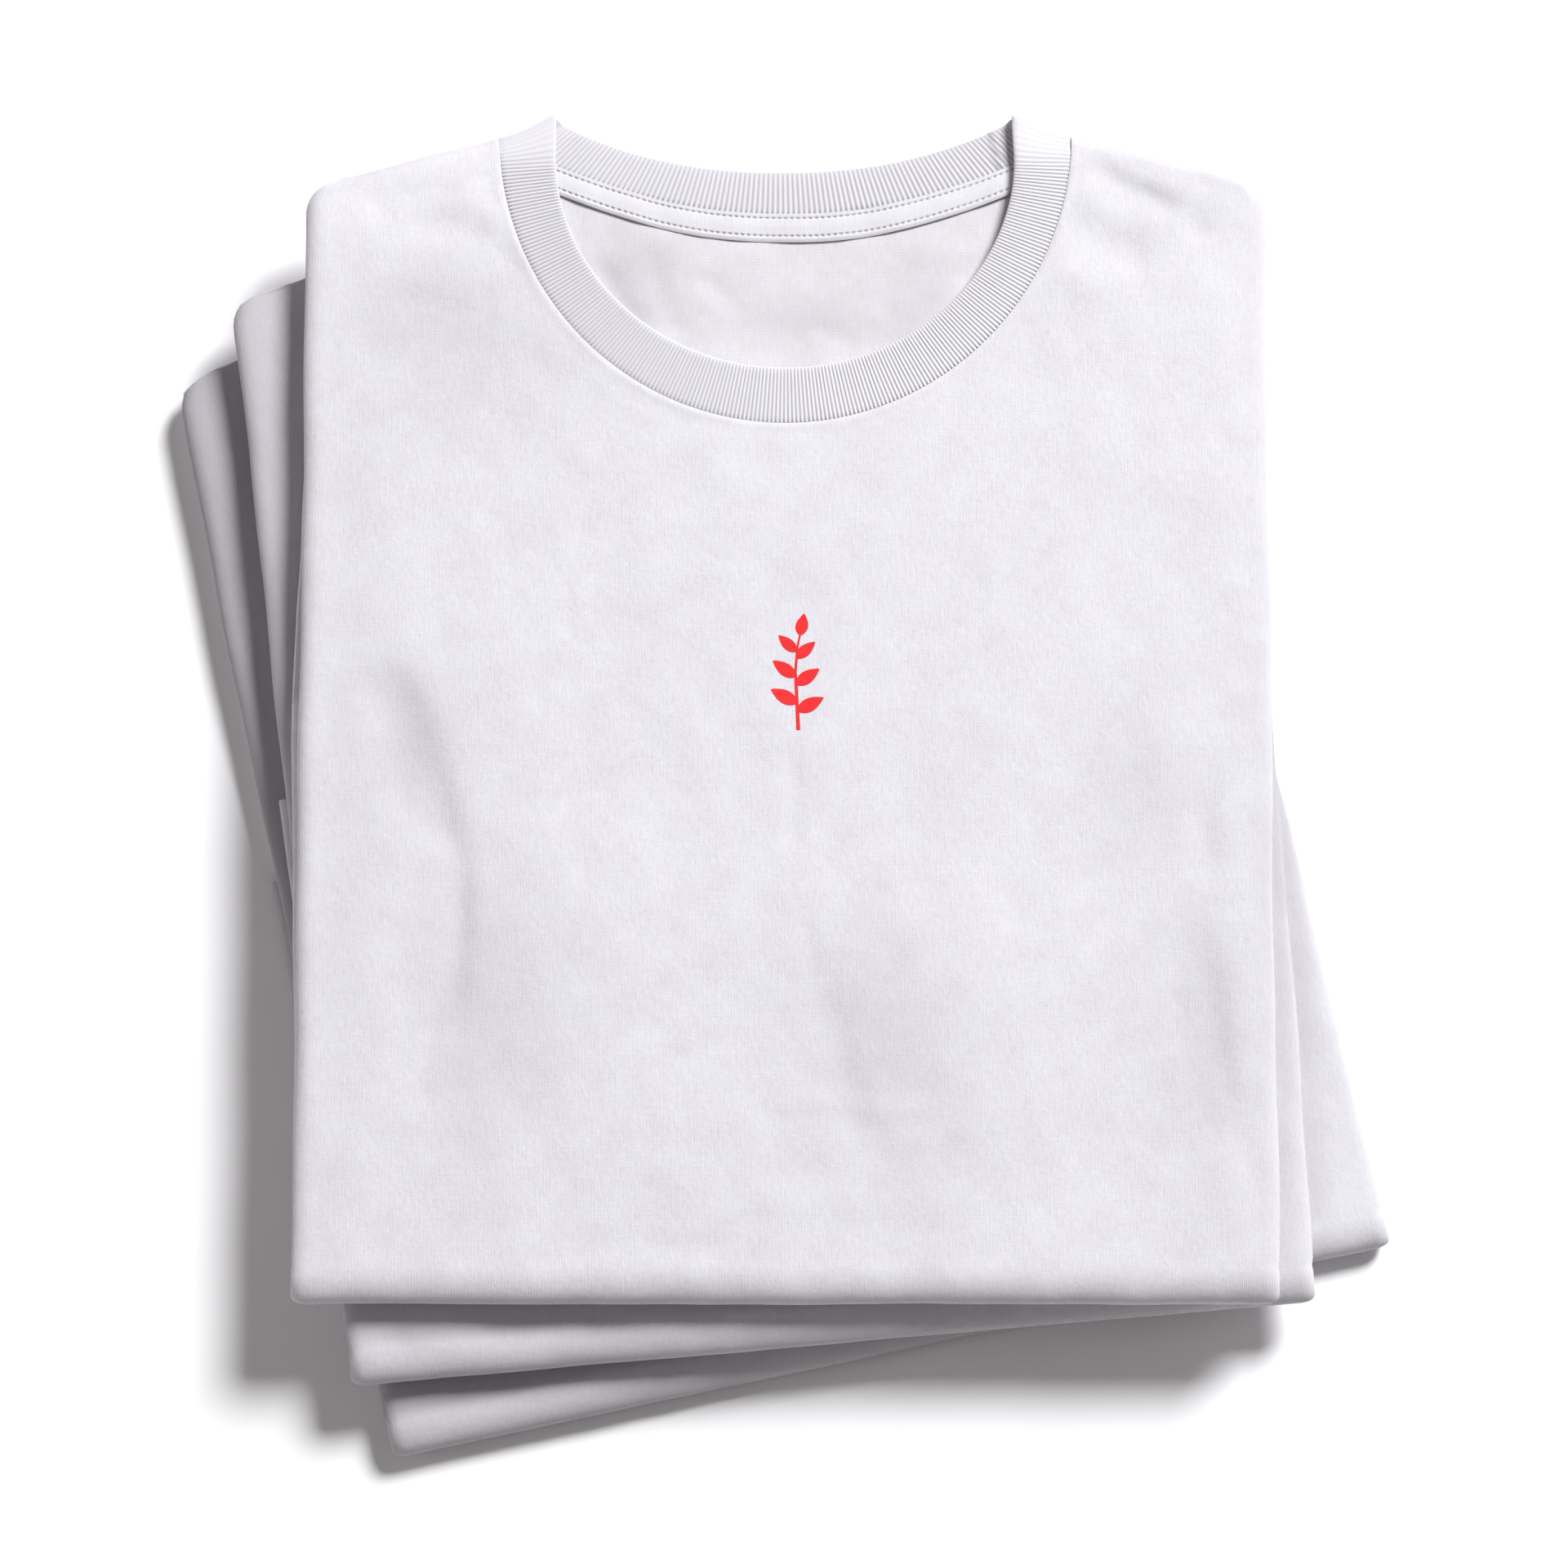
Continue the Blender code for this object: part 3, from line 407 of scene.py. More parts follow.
def knitted_cotton(name, cool, warm, wale, course, depth, lean=0.9):
    """A knit of two whites; wale, course and depth are in millimetres."""
    material, tree, shader = new_material(name, MATT_FIBRE)

    def step(operation, first, second=None, third=None):
        settings, links = {"operation": operation}, {}
        for slot, value in enumerate((first, second, third)):
            if value is not None:
                (settings if isinstance(value, (int, float)) else links)[slot] = value
        return add_node(tree, "ShaderNodeMath", settings, links).outputs[0]

    cloth = add_node(tree, "ShaderNodeUVMap", {"uv_map": "UVMap"})
    parts = add_node(tree, "ShaderNodeSeparateXYZ", links={0: cloth.outputs[0]})
    across = step("MULTIPLY", parts.outputs[0], 1000 / wale)
    along = step("MULTIPLY", parts.outputs[1], 1000 / course)
    side = step("ABSOLUTE", step("SUBTRACT", step("FRACT", across), 0.5))
    legs = step("ABSOLUTE", step("SINE", step("MULTIPLY", side, 2 * math.pi)))
    leaning = step("MULTIPLY_ADD", side, 2 * lean, along)
    courses = step("SINE", step("MULTIPLY", leaning, 2 * math.pi))
    knit = step("MULTIPLY_ADD", courses, 0.35, step("MULTIPLY", legs, 0.6))
    place_on = add_node(tree, "ShaderNodeTexCoord")
    fuzz = add_node(tree, "ShaderNodeTexNoise", {"Scale": 420.0, "Detail": 4.0, "Roughness": 0.6},
                    {"Vector": place_on.outputs["Object"]})
    yarn = add_node(tree, "ShaderNodeMapping", {3: (900.0, 190.0, 1.0)}, {0: cloth.outputs[0]})
    slubs = add_node(tree, "ShaderNodeTexNoise", {"Scale": 1.0, "Detail": 3.0, "Roughness": 0.7},
                     {"Vector": yarn.outputs[0]})
    uneven = step("MULTIPLY_ADD", slubs.outputs["Fac"], 1.5, knit)
    height = step("MULTIPLY_ADD", fuzz.outputs["Fac"], 1.6, uneven)
    bump = add_node(tree, "ShaderNodeBump", {"Strength": 0.8, "Distance": depth / 1000},
                    {"Height": height})
    tree.links.new(bump.outputs[0], shader.inputs["Normal"])
    patches = add_node(tree, "ShaderNodeTexNoise", {"Scale": 60.0, "Detail": 5.0, "Roughness": 0.6},
                       {"Vector": place_on.outputs["Object"]})
    broad = step("MULTIPLY", patches.outputs["Fac"], 0.4)
    mottle = step("MULTIPLY_ADD", slubs.outputs["Fac"], 0.6, broad)
    ramp = add_node(tree, "ShaderNodeMapRange", {1: 0.36, 2: 0.64}, {0: mottle})
    mix = add_node(tree, "ShaderNodeMix", {"data_type": "RGBA", 6: linear(cool), 7: linear(warm)},
                   {0: ramp.outputs[0]})
    # Painted shade: a number kept at each vertex turns the white towards a grey.
    painted_shade_node = add_node(tree, "ShaderNodeAttribute", {"attribute_name": "painted_shade"})
    greyed = add_node(tree, "ShaderNodeMix", {"data_type": "RGBA", 7: linear(PAINTED_SHADE_WHITE)},
                      {0: painted_shade_node.outputs["Fac"], 6: mix.outputs[2]})
    tree.links.new(greyed.outputs[2], shader.inputs["Base Color"])
    return material


JERSEY = knitted_cotton("white_cotton_jersey", "DDDBE1", "D2CED4", 1.07, 0.80, 0.10)
REVERSE = knitted_cotton("jersey_reverse_side", "DAD8DD", "CFCBD0", 1.07, 0.80, 0.04, lean=0.0)
RIB = knitted_cotton("cotton_rib_knit", "DDDCE1", "D9D6DB", 0.71, 0.75, 0.06)
TAPE = knitted_cotton("cotton_neck_tape", "D8D7DC", "D2CFD4", 0.80, 0.60, 0.05)
print("knits:", [m.name for m in (JERSEY, REVERSE, RIB, TAPE)])

# %% [markdown]
# Sewing thread is smooth spun cotton or polyester, a little brighter than the jersey. A screen
# print is a thin film of ink: it closes the knit, so it is smoother than the cloth round it and
# has a dull gloss.


# %% Thread and ink
def plain_finish(name, colour, roughness, grain, depth):
    """A finish of one colour with a fine grain, whose size is in millimetres."""
    values = {"Roughness": roughness, "Specular IOR Level": 0.3}
    material, tree, shader = new_material(name, values)
    place_on = add_node(tree, "ShaderNodeTexCoord")
    noise = add_node(tree, "ShaderNodeTexNoise", {"Scale": 1000 / grain, "Detail": 2.0},
                     {"Vector": place_on.outputs["Object"]})
    darker = (*[0.86 * c for c in linear(colour)[:3]], 1.0)
    shade = add_node(tree, "ShaderNodeMix", {"data_type": "RGBA", 6: linear(colour), 7: darker},
                     {0: noise.outputs["Fac"]})
    bump = add_node(tree, "ShaderNodeBump", {"Strength": 0.6, "Distance": depth / 1000},
                    {"Height": noise.outputs["Fac"]})
    tree.links.new(bump.outputs[0], shader.inputs["Normal"])
    tree.links.new(shade.outputs[2], shader.inputs["Base Color"])
    return material


THREAD = plain_finish("spun_sewing_thread", "E4E3E8", 0.75, 0.3, 0.05)
INK = plain_finish("red_screen_print_ink", "E82427", 0.6, 0.9, 0.04)
print("finishes:", THREAD.name, INK.name)

# %% [markdown]
# ## A sheet of cloth
#
# Each panel starts as Blender's grid, with one vertex for each point that its form needs. Its
# vertices are then moved to the worked-out places, its creases are raised along its own normals,
# and Solidify gives it the wall of real cloth, inwards. Each vertex keeps its place on the flat
# cut in the UV map, in metres, and so the knit runs true. A cloth simulation could drape a sheet
# too, but it would choose the creases itself, and pressed folds need the exact sizes.


# %% Making a sheet
def outward_normals(points):
    """The outward normals of a grid of points, rows by columns."""
    normal = np.cross(np.gradient(points, axis=1), np.gradient(points, axis=0))
    size = np.linalg.norm(normal, axis=-1, keepdims=True)
    return normal / np.maximum(size, 1e-12)


def write_uv(mesh, cloth):
    """Stores each vertex's place on the flat cut, in metres, in the mesh's UV map."""
    layer = mesh.uv_layers.get("UVMap") or mesh.uv_layers.new(name="UVMap")
    corners = np.zeros(len(mesh.loops), int)
    mesh.loops.foreach_get("vertex_index", corners)
    layer.data.foreach_set("uv", cloth[corners].astype(np.float32).ravel())


def apply_all(piece):
    """Applies a piece's modifiers, first to last."""
    bpy.ops.object.select_all(action="DESELECT")
    bpy.context.view_layer.objects.active = piece
    piece.select_set(True)
    for modifier in list(piece.modifiers):
        bpy.ops.object.modifier_apply(modifier=modifier.name)


def add_wall(piece, wall):
    """Gives a sheet its wall, inwards from the face that was worked out."""
    solidify = piece.modifiers.new("wall", "SOLIDIFY")
    solidify.thickness = wall
    solidify.offset = -1
    apply_all(piece)


def smooth_faces(piece, sharp):
    """Shades a piece smooth, apart from edges sharper than an angle in degrees."""
    bpy.ops.object.shade_smooth_by_angle(angle=math.radians(sharp))
    apply_all(piece)
    print(f"{piece.name}: {len(piece.data.polygons)} faces")


def join_ends(outwards=False):
    """Joins the active piece's vertices that lie in one place, and may turn its faces out."""
    bpy.ops.object.mode_set(mode="EDIT")
    bpy.ops.mesh.select_all(action="SELECT")
    bpy.ops.mesh.remove_doubles(threshold=1e-6)
    if outwards:
        bpy.ops.mesh.normals_make_consistent(inside=False)
    bpy.ops.object.mode_set(mode="OBJECT")


def moved_grid(name, points, material):
    """Blender's grid, each vertex moved to its point."""
    rows, columns = points.shape[:2]
    bpy.ops.object.select_all(action="DESELECT")
    bpy.ops.mesh.primitive_grid_add(x_subdivisions=columns - 1, y_subdivisions=rows - 1, size=1)
    piece = bpy.context.object
    piece.name = piece.data.name = name
    piece.data.vertices.foreach_set("co", points.astype(np.float32).ravel())
    piece.data.materials.append(material)
    return piece


def sheet(name, points, cloth, wall, material, tube=False, sharp=50, painted_shade_amount=None):
    """A grid moved to its points, with its wall and its painted shade, if any. Where a tube's ends
    meet they are joined.
    """
    piece = moved_grid(name, points, material)
    write_uv(piece.data, cloth.reshape(-1, 2))
    if painted_shade_amount is not None:
        layer = piece.data.attributes.new("painted_shade", "FLOAT", "POINT")
        layer.data.foreach_set("value", painted_shade_amount.astype(np.float32).ravel())
    if tube:
        join_ends()
    if wall:
        add_wall(piece, wall)
    smooth_faces(piece, sharp)
    return piece


# %% [markdown]
# ## The front panel
#
# The front panel is the big sheet that shows. It starts at the hem, runs under the shirt, turns
# up round the front fold, covers the upper face and ends at the neckline and the shoulders. At
# both sides it rolls round the body's pad. All this is one grid, so the cloth is one sheet as it
# is on the real shirt. Its columns stand closer where the neckline is steep.


# %% Columns, rows and their places
Rows = collections.namedtuple("Rows", "flap bend body ease end neck beyond roll")
FINE = Rows(22, 16, 130, 8, 11, 42, 23, 10)
COARSE = Rows(14, 12, 92, 5, 7, 14, 20, 8)
CLOSE = (0.0005, 0.0011, 0.0018, 0.0026, 0.0036, 0.0049, 0.0066)  # columns beyond the neckline
END_TURN = 81  # degrees that the panel turns down at its end
TIGHTER = 1.65  # a hidden layer's roll is tighter by this many times its depth


def mirrored(right):
    """The columns of the left half, then those of the right half."""
    return np.concatenate((-right[:0:-1], right))


def front_columns(shirt, count):
    """Distances across at the neckline and lower down, and the share of the side fold."""
    flat = float(half_width(shirt, NECK_TOP)) - SIDE_ROLL
    neck = NECK_HALF * np.sin(np.linspace(0, math.pi / 2, count.neck + 1))
    close = NECK_HALF + np.array(CLOSE)
    outer = np.linspace(close[-1], flat, count.beyond + 1)[1:]
    high = mirrored(np.concatenate((neck, close, outer)))
    low = np.linspace(-flat, flat, len(high))
    rolls = np.linspace(0, 1, count.roll + 1)[1:]
    edge = np.full(count.roll, flat)
    roll = np.concatenate((-rolls[::-1], 0 * high, rolls))
    return np.concatenate((-edge, high, edge)), np.concatenate((-edge, low, edge)), roll


def neckline(u):
    """The neckline's v at a distance across, and that of its ends beyond them."""
    share = np.minimum(1.0, np.abs(u) / NECK_HALF)
    return NECK_TOP - NECK_DROP * np.sqrt(1 - share * share)


def front_end(u):
    """Where the front panel ends: on the neckline, or on the shoulder line beyond it."""
    return neckline(u) - SHOULDER_SLOPE * np.maximum(0.0, np.abs(u) - NECK_HALF)


def wrap_angle(v, end):
    """Degrees round its side fold that the front panel covers."""
    near_bend = 1 - smooth((v - FRONT_ROLL) / WRAP_EASE)
    near_end = smooth((v - end + SHOULDER_ROLL + WRAP_EASE) / WRAP_EASE)
    angle = WRAP[0] - (WRAP[0] - WRAP[1]) * near_bend
    return angle - (angle - WRAP[2]) * near_end


def corner_shift(shirt, side, v, end):
    """How far a point near a shoulder corner is drawn inwards, to round it from above."""
    near = smooth((np.abs(side) / half_width(shirt, v) - 0.72) / 0.28)
    rise = np.maximum(0.0, 1 - np.maximum(0.0, end - v) / CORNER)
    return np.copysign(CORNER * near * (1 - np.sqrt(1 - rise * rise)), side)


def edge_wave(shirt, side, v):
    """The side folds aren't quite straight: how far they wander."""
    hand = np.where(side > 0, 1.3, 0.4) + shirt.level
    wave = 0.00035 * np.sin(v * 31 + 2 * hand) + 0.00022 * np.sin(v * 83 + 5 * hand)
    return wave * smooth((np.abs(side) - half_width(shirt, v) + 0.030) / 0.024)


def front_row(shirt, columns, stretch, share, depth=0.0, angles=None, end=None):
    """One row of the front panel, or of a layer at a depth inside it.

    Returns its points as u, v, w and its place on the cloth, both columns by number.
    """
    high, low, roll = columns
    end = front_end(high) if end is None else end
    blend = 0.0
    angle = math.radians(share * (180 if stretch == "bend" else END_TURN))
    shift = 0.0
    if stretch == "flap":
        v = out_v = np.full(high.shape, FLAP + (FRONT_ROLL - FLAP) * share)
        out_w, normal = 0.0 * high, (0.0, -1.0)
        shift = -FLAP_SKEW * (v - FRONT_ROLL)
        cloth_v = -2 * BEND_ARC - v
    elif stretch == "bend":
        reach = FRONT_ROLL if angle < math.pi / 2 else FRONT_DROOP
        turned = math.pi - angle
        v = np.full(high.shape, FRONT_ROLL)
        out_v = reach * (1 - math.sin(turned)) + 0 * high
        out_w = THICK / 2 * (1 + math.cos(turned)) + 0 * high
        size = math.hypot(math.sin(turned) / reach, math.cos(turned) / (THICK / 2))
        normal = (-math.sin(turned) / reach / size, math.cos(turned) / (THICK / 2) / size)
        cloth_v = -2 * BEND_ARC * (1 - share) + FRONT_DROOP * share + 0 * high
    elif stretch == "body":
        blend = smooth((share - 0.45) / 0.5)
        stop = end - SHOULDER_ROLL - WRAP_EASE
        v = out_v = FRONT_DROOP + (stop - FRONT_DROOP) * share
        out_w, normal, cloth_v = THICK + 0 * high, (0.0, 1.0), v
    elif stretch == "ease":
        blend = 1.0
        v = out_v = end - SHOULDER_ROLL - WRAP_EASE * (1 - share)
        out_w, normal, cloth_v = THICK + 0 * high, (0.0, 1.0), v
    else:
        blend = 1.0
        ease = np.where(np.abs(high) < NECK_HALF, smooth((end - NECK_TOP) / SEAM_ROLL + 1), 1.0)
        v = out_v = end - SHOULDER_ROLL * (1 - math.sin(angle))
        drop = ease * PAD / 2 + (1 - ease) * NECK_DIP
        out_w = THICK - drop * (1 - math.cos(angle))
        tip = ease * math.sin(angle)
        normal = (tip, np.sqrt(1 - tip * tip))
        cloth_v = v + ease * (angle - math.sin(angle)) * SHOULDER_ROLL
    across = low + (high - low) * blend
    flat = half_width(shirt, v) - SIDE_ROLL
    at_top = float(half_width(shirt, NECK_TOP)) - SIDE_ROLL
    fixed = NECK_HALF + NOTCH
    beyond = np.maximum(0.0, np.abs(across) - fixed) * (flat - fixed) / (at_top - fixed)
    level = np.copysign(np.minimum(np.abs(across), fixed) + beyond, across)
    covered = WRAP[1] if stretch == "bend" else wrap_angle(v, end)
    degrees = np.abs(roll) * covered if angles is None else angles
    turn = np.radians(degrees)
    side = np.where(degrees > 0, flat + (SIDE_ROLL - depth * TIGHTER) * np.sin(turn), np.abs(level))
    side = np.copysign(side, across)
    inward = np.where(degrees > 0, depth + (PAD / 2 - depth) * (1 - np.cos(turn)), depth)
    girth = np.copysign(np.abs(level) + ROLL_ARC * degrees / 90, across)
    if stretch in ("body", "ease", "end"):
        side = side - corner_shift(shirt, side, out_v, end)
    side = side + edge_wave(shirt, side, v)
    points = np.stack((side + shift, out_v - inward * normal[0], out_w - inward * normal[1]), -1)
    return points, np.stack((girth, cloth_v), -1)


def front_stretches(count):
    """Each row's stretch of the panel and how far along it is, from the hem to the neckline."""
    rows = [("flap", math.sin(t * math.pi / 2)) for t in np.linspace(0, 1, count.flap + 1)[:-1]]
    rows += [("bend", t) for t in np.linspace(0, 1, count.bend + 1)]
    for stretch, number in (("body", count.body), ("ease", count.ease), ("end", count.end)):
        rows += [(stretch, t) for t in np.linspace(0, 1, number + 1)[1:]]
    return rows


def rows_of(stretches, *names):
    """Which rows belong to the named stretches, as a column."""
    return np.array([name in names for name, _ in stretches])[:, None]


# %% [markdown]
# ### The hem and the neckline seam
#
# The hem is turned up 20 mm, so it stands a little higher than the rest of the folded-under
# third, and its two rows of stitches sink into it. At the neckline the jersey turns down into
# the seam with the neckband. The seam allowance lies behind it and pushes up a narrow ridge.
# Both are small heights on the panel's own grid, because the cloth goes on without a break.

# %% Relief that the sewing gives
HEM, HEM_RISE = 0.020, 0.0003
HEM_ROWS = (FLAP - 0.0150, FLAP - 0.0210)  # where its two rows of stitches run
HEM_ROW, HEM_ROW_WIDTH = 0.00035, 0.0011  # how deep they sink in, and how wide
SEAM_RIDGE = (0.00007, 0.0019, 0.00105)  # height, distance from the neckline and width
SEAM_BEHIND = (-0.00005, 0.0052, 0.0020)  # the trough beyond it
SEAM_EDGE = (-0.00008, 0.0, 0.0006)  # the panel's edge, which is drawn in


def neckline_distance(u, v):
    """Distance from the neckline seam, for points outside it."""
    du, dv = u / NECK_HALF, (NECK_TOP - v) / NECK_DROP
    radius = np.hypot(du, dv)
    slope = np.hypot(du / NECK_HALF, dv / NECK_DROP) / np.maximum(radius, 1e-9)
    return np.where(v < NECK_TOP, (radius - 1) / slope, 1.0)


def sewn_relief(stretches, points):
    """Height that the hem and the neckline seam give to each point of a front panel."""
    u, v = points[..., 0], points[..., 1]
    hem = -HEM_RISE * (1 - smooth((v - FLAP + HEM + 0.0008) / 0.0016))
    rows = sum(bell(v - row, HEM_ROW_WIDTH) for row in HEM_ROWS)
    gap = neckline_distance(u, v)
    ridge, edge, behind = (
        height * bell(gap - away, width)
        for height, away, width in (SEAM_RIDGE, SEAM_EDGE, SEAM_BEHIND)
    )
    puckers = 1 + 0.25 * np.sin(u * 900) * np.sin(u * 370 + 1)
    seam = ridge * puckers + edge + behind
    return np.where(rows_of(stretches, "flap"), hem - HEM_ROW * rows, seam)


# %% Relief and painted shade of a front panel
PRESSED = 0.0004  # a lower shirt's free cloth lies this much lower than the solid's
UNDER_PRESSED = 0.0002  # and its covered cloth this much
FLAT_AT_SEAM = 0.010  # creases fade out this close to the neckline


def side_turn(shirt, cloth):
    """How far round its side fold a point is: 0 where the roll starts, 1 a quarter round."""
    return (np.abs(cloth[..., 0]) - half_width(shirt, cloth[..., 1]) + SIDE_ROLL) / ROLL_ARC


def fold_shade_amount(shirt, across, stretches, cloth):
    """Painted shade on the side folds and on the shoulder folds."""
    along = np.array([t for _, t in stretches])[:, None]
    shoulder = smooth((np.abs(across) / NECK_HALF - 0.99) / 0.02) * smooth(along * 1.5)
    sides = np.where(cloth[..., 0] > 0, PAINTED_FOLD_SHADE[1], PAINTED_FOLD_SHADE[0])
    sides = sides * smooth((side_turn(shirt, cloth) + 0.3) / 0.9)
    return np.maximum(sides, PAINTED_FOLD_SHADE[1] * shoulder * rows_of(stretches, "end"))


def strip_shade_amount(shirt, points, across):
    """Painted shade on a lower shirt: over its left and lower strip, and on its right strip against
    the edge of the next shirt.
    """
    left = PAINTED_STRIP_SHADE[shirt.name] * smooth((STRIP - across) / STRIP_FADE)
    return left + PAINTED_CONTACT_SHADE * beside(shirt, points[..., 0], points[..., 1]) * (across > STRIP)


def creases_only_above(shirt, stretches, flat, cloth, height):
    """Creases fade out round the folds and at the neckline, and there are none underneath."""
    height = height * (1 - 0.8 * smooth((side_turn(shirt, cloth) - 0.2) / 0.8))
    along = np.array([t for _, t in stretches])[:, None]
    height = np.where(rows_of(stretches, "bend"), height * smooth((along - 0.2) / 0.5), height)
    gap = neckline_distance(flat[..., 0], flat[..., 1])
    body = ~rows_of(stretches, "flap", "bend")
    height = height * np.where(body, smooth(gap / FLAT_AT_SEAM + 0.15), 1.0)
    return np.where(rows_of(stretches, "flap"), 0.0, height)


# %% Three front panels
def front_points(shirt, count):
    """The front panel's points in the stack, their places on the cloth and their painted shade."""
    columns = front_columns(shirt, count)
    stretches = front_stretches(count)
    rows = [front_row(shirt, columns, *stretch) for stretch in stretches]
    flat, cloth = (np.array(part) for part in zip(*rows))
    points = place_all(shirt, flat)
    body = ~rows_of(stretches, "flap", "bend")
    height = relief(shirt, cloth[..., 0], cloth[..., 1])
    # Painted shade: in troughs and broad patches, on the side and shoulder folds and on the lower
    # shirts' strips; half as much round the front fold and underneath.
    painted_shade_amount = painted_shade(shirt.name, cloth[..., 0], cloth[..., 1], height)
    painted_shade_amount += fold_shade_amount(shirt, columns[0], stretches, cloth)
    painted_shade_amount += strip_shade_amount(shirt, points, cloth[..., 0])
    painted_shade_amount = np.clip(painted_shade_amount, 0.0, 1.0) * np.where(body, 1.0, 0.5)
    height = creases_only_above(shirt, stretches, flat, cloth, height)
    if shirt is not TOP:
        free = uncovered(shirt, points[..., 0], points[..., 1])
        height = free * (height - PRESSED) - (1 - free) * UNDER_PRESSED * body
    height = height + sewn_relief(stretches, flat)
    return points + height[..., None] * outward_normals(points), cloth, painted_shade_amount


for shirt in SHIRTS:
    points, cloth, painted_shade_amount = front_points(shirt, FINE if shirt is TOP else COARSE)
    front = sheet(f"{shirt.name}_front_cloth", points, cloth, CLOTH, JERSEY, painted_shade_amount=painted_shade_amount)
    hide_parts(f"{shirt.name}_front")
    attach(front, "root")

# %% [markdown]
# ## The hidden layers
#
# Between the front and the back panel lie the folded-in parts of the body. Only their edges show,
# at the ends of the front fold. They are one flattened tube inside the front panel, that follows
# it round the front fold, with a groove along each side where two layers meet.


# %% Hidden layers
LAYER_WALL = 0.0007
LAYER_DEPTH, LAYER_SINK = 0.0018, 0.0009  # under the panel's face, and more on top inwards
LAYER_ROLL = 0.0026  # cloth between two points round a side
GROOVE, GROOVE_WIDTH = 0.0009, 16  # its depth, and its width in degrees round a side


def layers_line(flat):
    """A closed line round the layers: distances across, and degrees round the side folds."""
    notch = NECK_HALF + NOTCH
    middle = notch * np.sin(np.linspace(0, math.pi / 2, 11))
    across = mirrored(np.concatenate((middle, np.linspace(notch, flat, 8)[1:])))
    turn = np.linspace(12, 168, 13)
    sides = np.full(len(turn), flat)
    above, below = np.zeros(len(across)), np.full(len(across), 180.0)
    high = np.concatenate((across, sides, across[::-1], -sides, across[:1]))
    return high, np.concatenate((above, turn, below, turn[::-1], [0.0]))


def layers_end(high):
    """Where the layers end: short of the neckline, and on the shoulder line beyond it."""
    share = np.minimum(1.0, np.abs(high) / (NECK_HALF + NOTCH))
    end = np.minimum(NECK_TOP - (NECK_DROP + NOTCH) * np.sqrt(1 - share * share), NECK_TOP - NOTCH)
    return end - SHOULDER_SLOPE * np.maximum(0.0, np.abs(high) - NECK_HALF)


def layers_points(shirt):
    """The closed line round the layers, swept from the hem to short of the neckline."""
    flat = float(half_width(shirt, NECK_TOP)) - SIDE_ROLL
    high, angles = layers_line(flat)
    below = angles == 180
    rows = [("flap", t) for t in np.linspace(0.01, 1, 6)[:-1]]
    rows += [("bend", t) for t in np.linspace(0, 1, 11)]
    rows += [("body", t) for t in np.linspace(0, 1, 15)[1:]] + [("ease", 1.0)]
    points, cloth = [], []
    groove = GROOVE * bell(angles - 90, GROOVE_WIDTH) * (angles > 0) * (angles < 180)
    rolling = LAYER_ROLL * (np.diff(angles) != 0)
    girth = np.concatenate(([0.0], np.cumsum(np.hypot(np.diff(high), rolling))))
    sunk = LAYER_DEPTH + LAYER_SINK * (angles == 0) * smooth((flat - np.abs(high)) / 0.020)
    for stretch, t in rows:
        depth = sunk if stretch in ("body", "ease") else LAYER_DEPTH
        columns = (high, high, 0 * high)
        line, place_on = front_row(shirt, columns, stretch, t, depth, angles, layers_end(high))
        line[:, 0] -= np.copysign(groove, high)
        inner = np.minimum(np.abs(line[below, 0]), np.abs(high[below]))
        line[below, 0] = np.copysign(inner, high[below])
        points.append(line)
        cloth.append(np.stack((girth, place_on[:, 1]), -1))
    return place_all(shirt, points), np.array(cloth)


for shirt in SHIRTS:
    points, cloth = layers_points(shirt)
    layers = sheet(f"{shirt.name}_folded_layers", points, cloth, LAYER_WALL, JERSEY, tube=True)
    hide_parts(f"{shirt.name}_inner_layers")
    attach(layers, "root")

# %% [markdown]
# ## The back panel
#
# The back panel lies under the body's pad. Its inside shows in the neck opening, between the
# front of the neckband and the neck tape, as the reverse side of the jersey. It has soft upright
# wrinkles there, because the band draws the cloth in. Under the shoulders it is the lower lip of
# the edge. It is a grid like the front panel's, worked out from below, so that its wall grows up
# to the side that shows.

# %% Back panels
BACK_REACH = 0.322  # it starts here, under the front of the neckband
BACK_SIDE = 0.012  # its columns turn to the side fold this far from it
BACK_BULGE, BACK_BULGE_END = 0.0018, 0.410
BACK_TURN = 68  # degrees that it turns up at its end
WRAP_GAP = 19  # degrees between its edge and the front panel's, round the side fold
BACK_SMOOTHED = 0.25  # its wrinkles fade out over this share of the neckline's reach
DRAPE_END, DRAPE_FADE = 0.006, 0.012  # and this far from its end, over this length
BACK_STEP = 0.0012  # from its last level row to the first that turns
BAND_FRONT = 0.3672  # the neckband's free edge in front


def back_end(u):
    """Where the back panel ends: on the back neckline, or on the shoulder line beyond it."""
    share = np.minimum(1.0, np.abs(u) / NECK_HALF)
    rise = (NECK_TOP - BACK_SEAM) * share * share
    return BACK_SEAM + rise - SHOULDER_SLOPE * np.maximum(0.0, np.abs(u) - NECK_HALF)


def back_bulge(u, v):
    """How much the back panel rises inside the neckline, under the front of the band."""
    reach = np.hypot(u / (NECK_HALF + NOTCH), (NECK_TOP - v) / (NECK_DROP + NOTCH))
    inside = smooth((1 - reach) / 0.2)
    return BACK_BULGE * inside * (1 - smooth((v - BAND_FRONT) / (BACK_BULGE_END - BAND_FRONT)))


def back_drape(shirt, u, v):
    """Its wrinkles, and the share of them that each place has: all inside the neckline."""
    drape = ripples(u, v, 5 + shirt.level) * 1.3
    for crease in CREASES["inside"]:
        drape = drape - crease_height(crease, u, v)
    away = np.hypot(u / NECK_HALF, (NECK_TOP - v) / NECK_DROP)
    return drape, smooth((1 - away) / BACK_SMOOTHED)


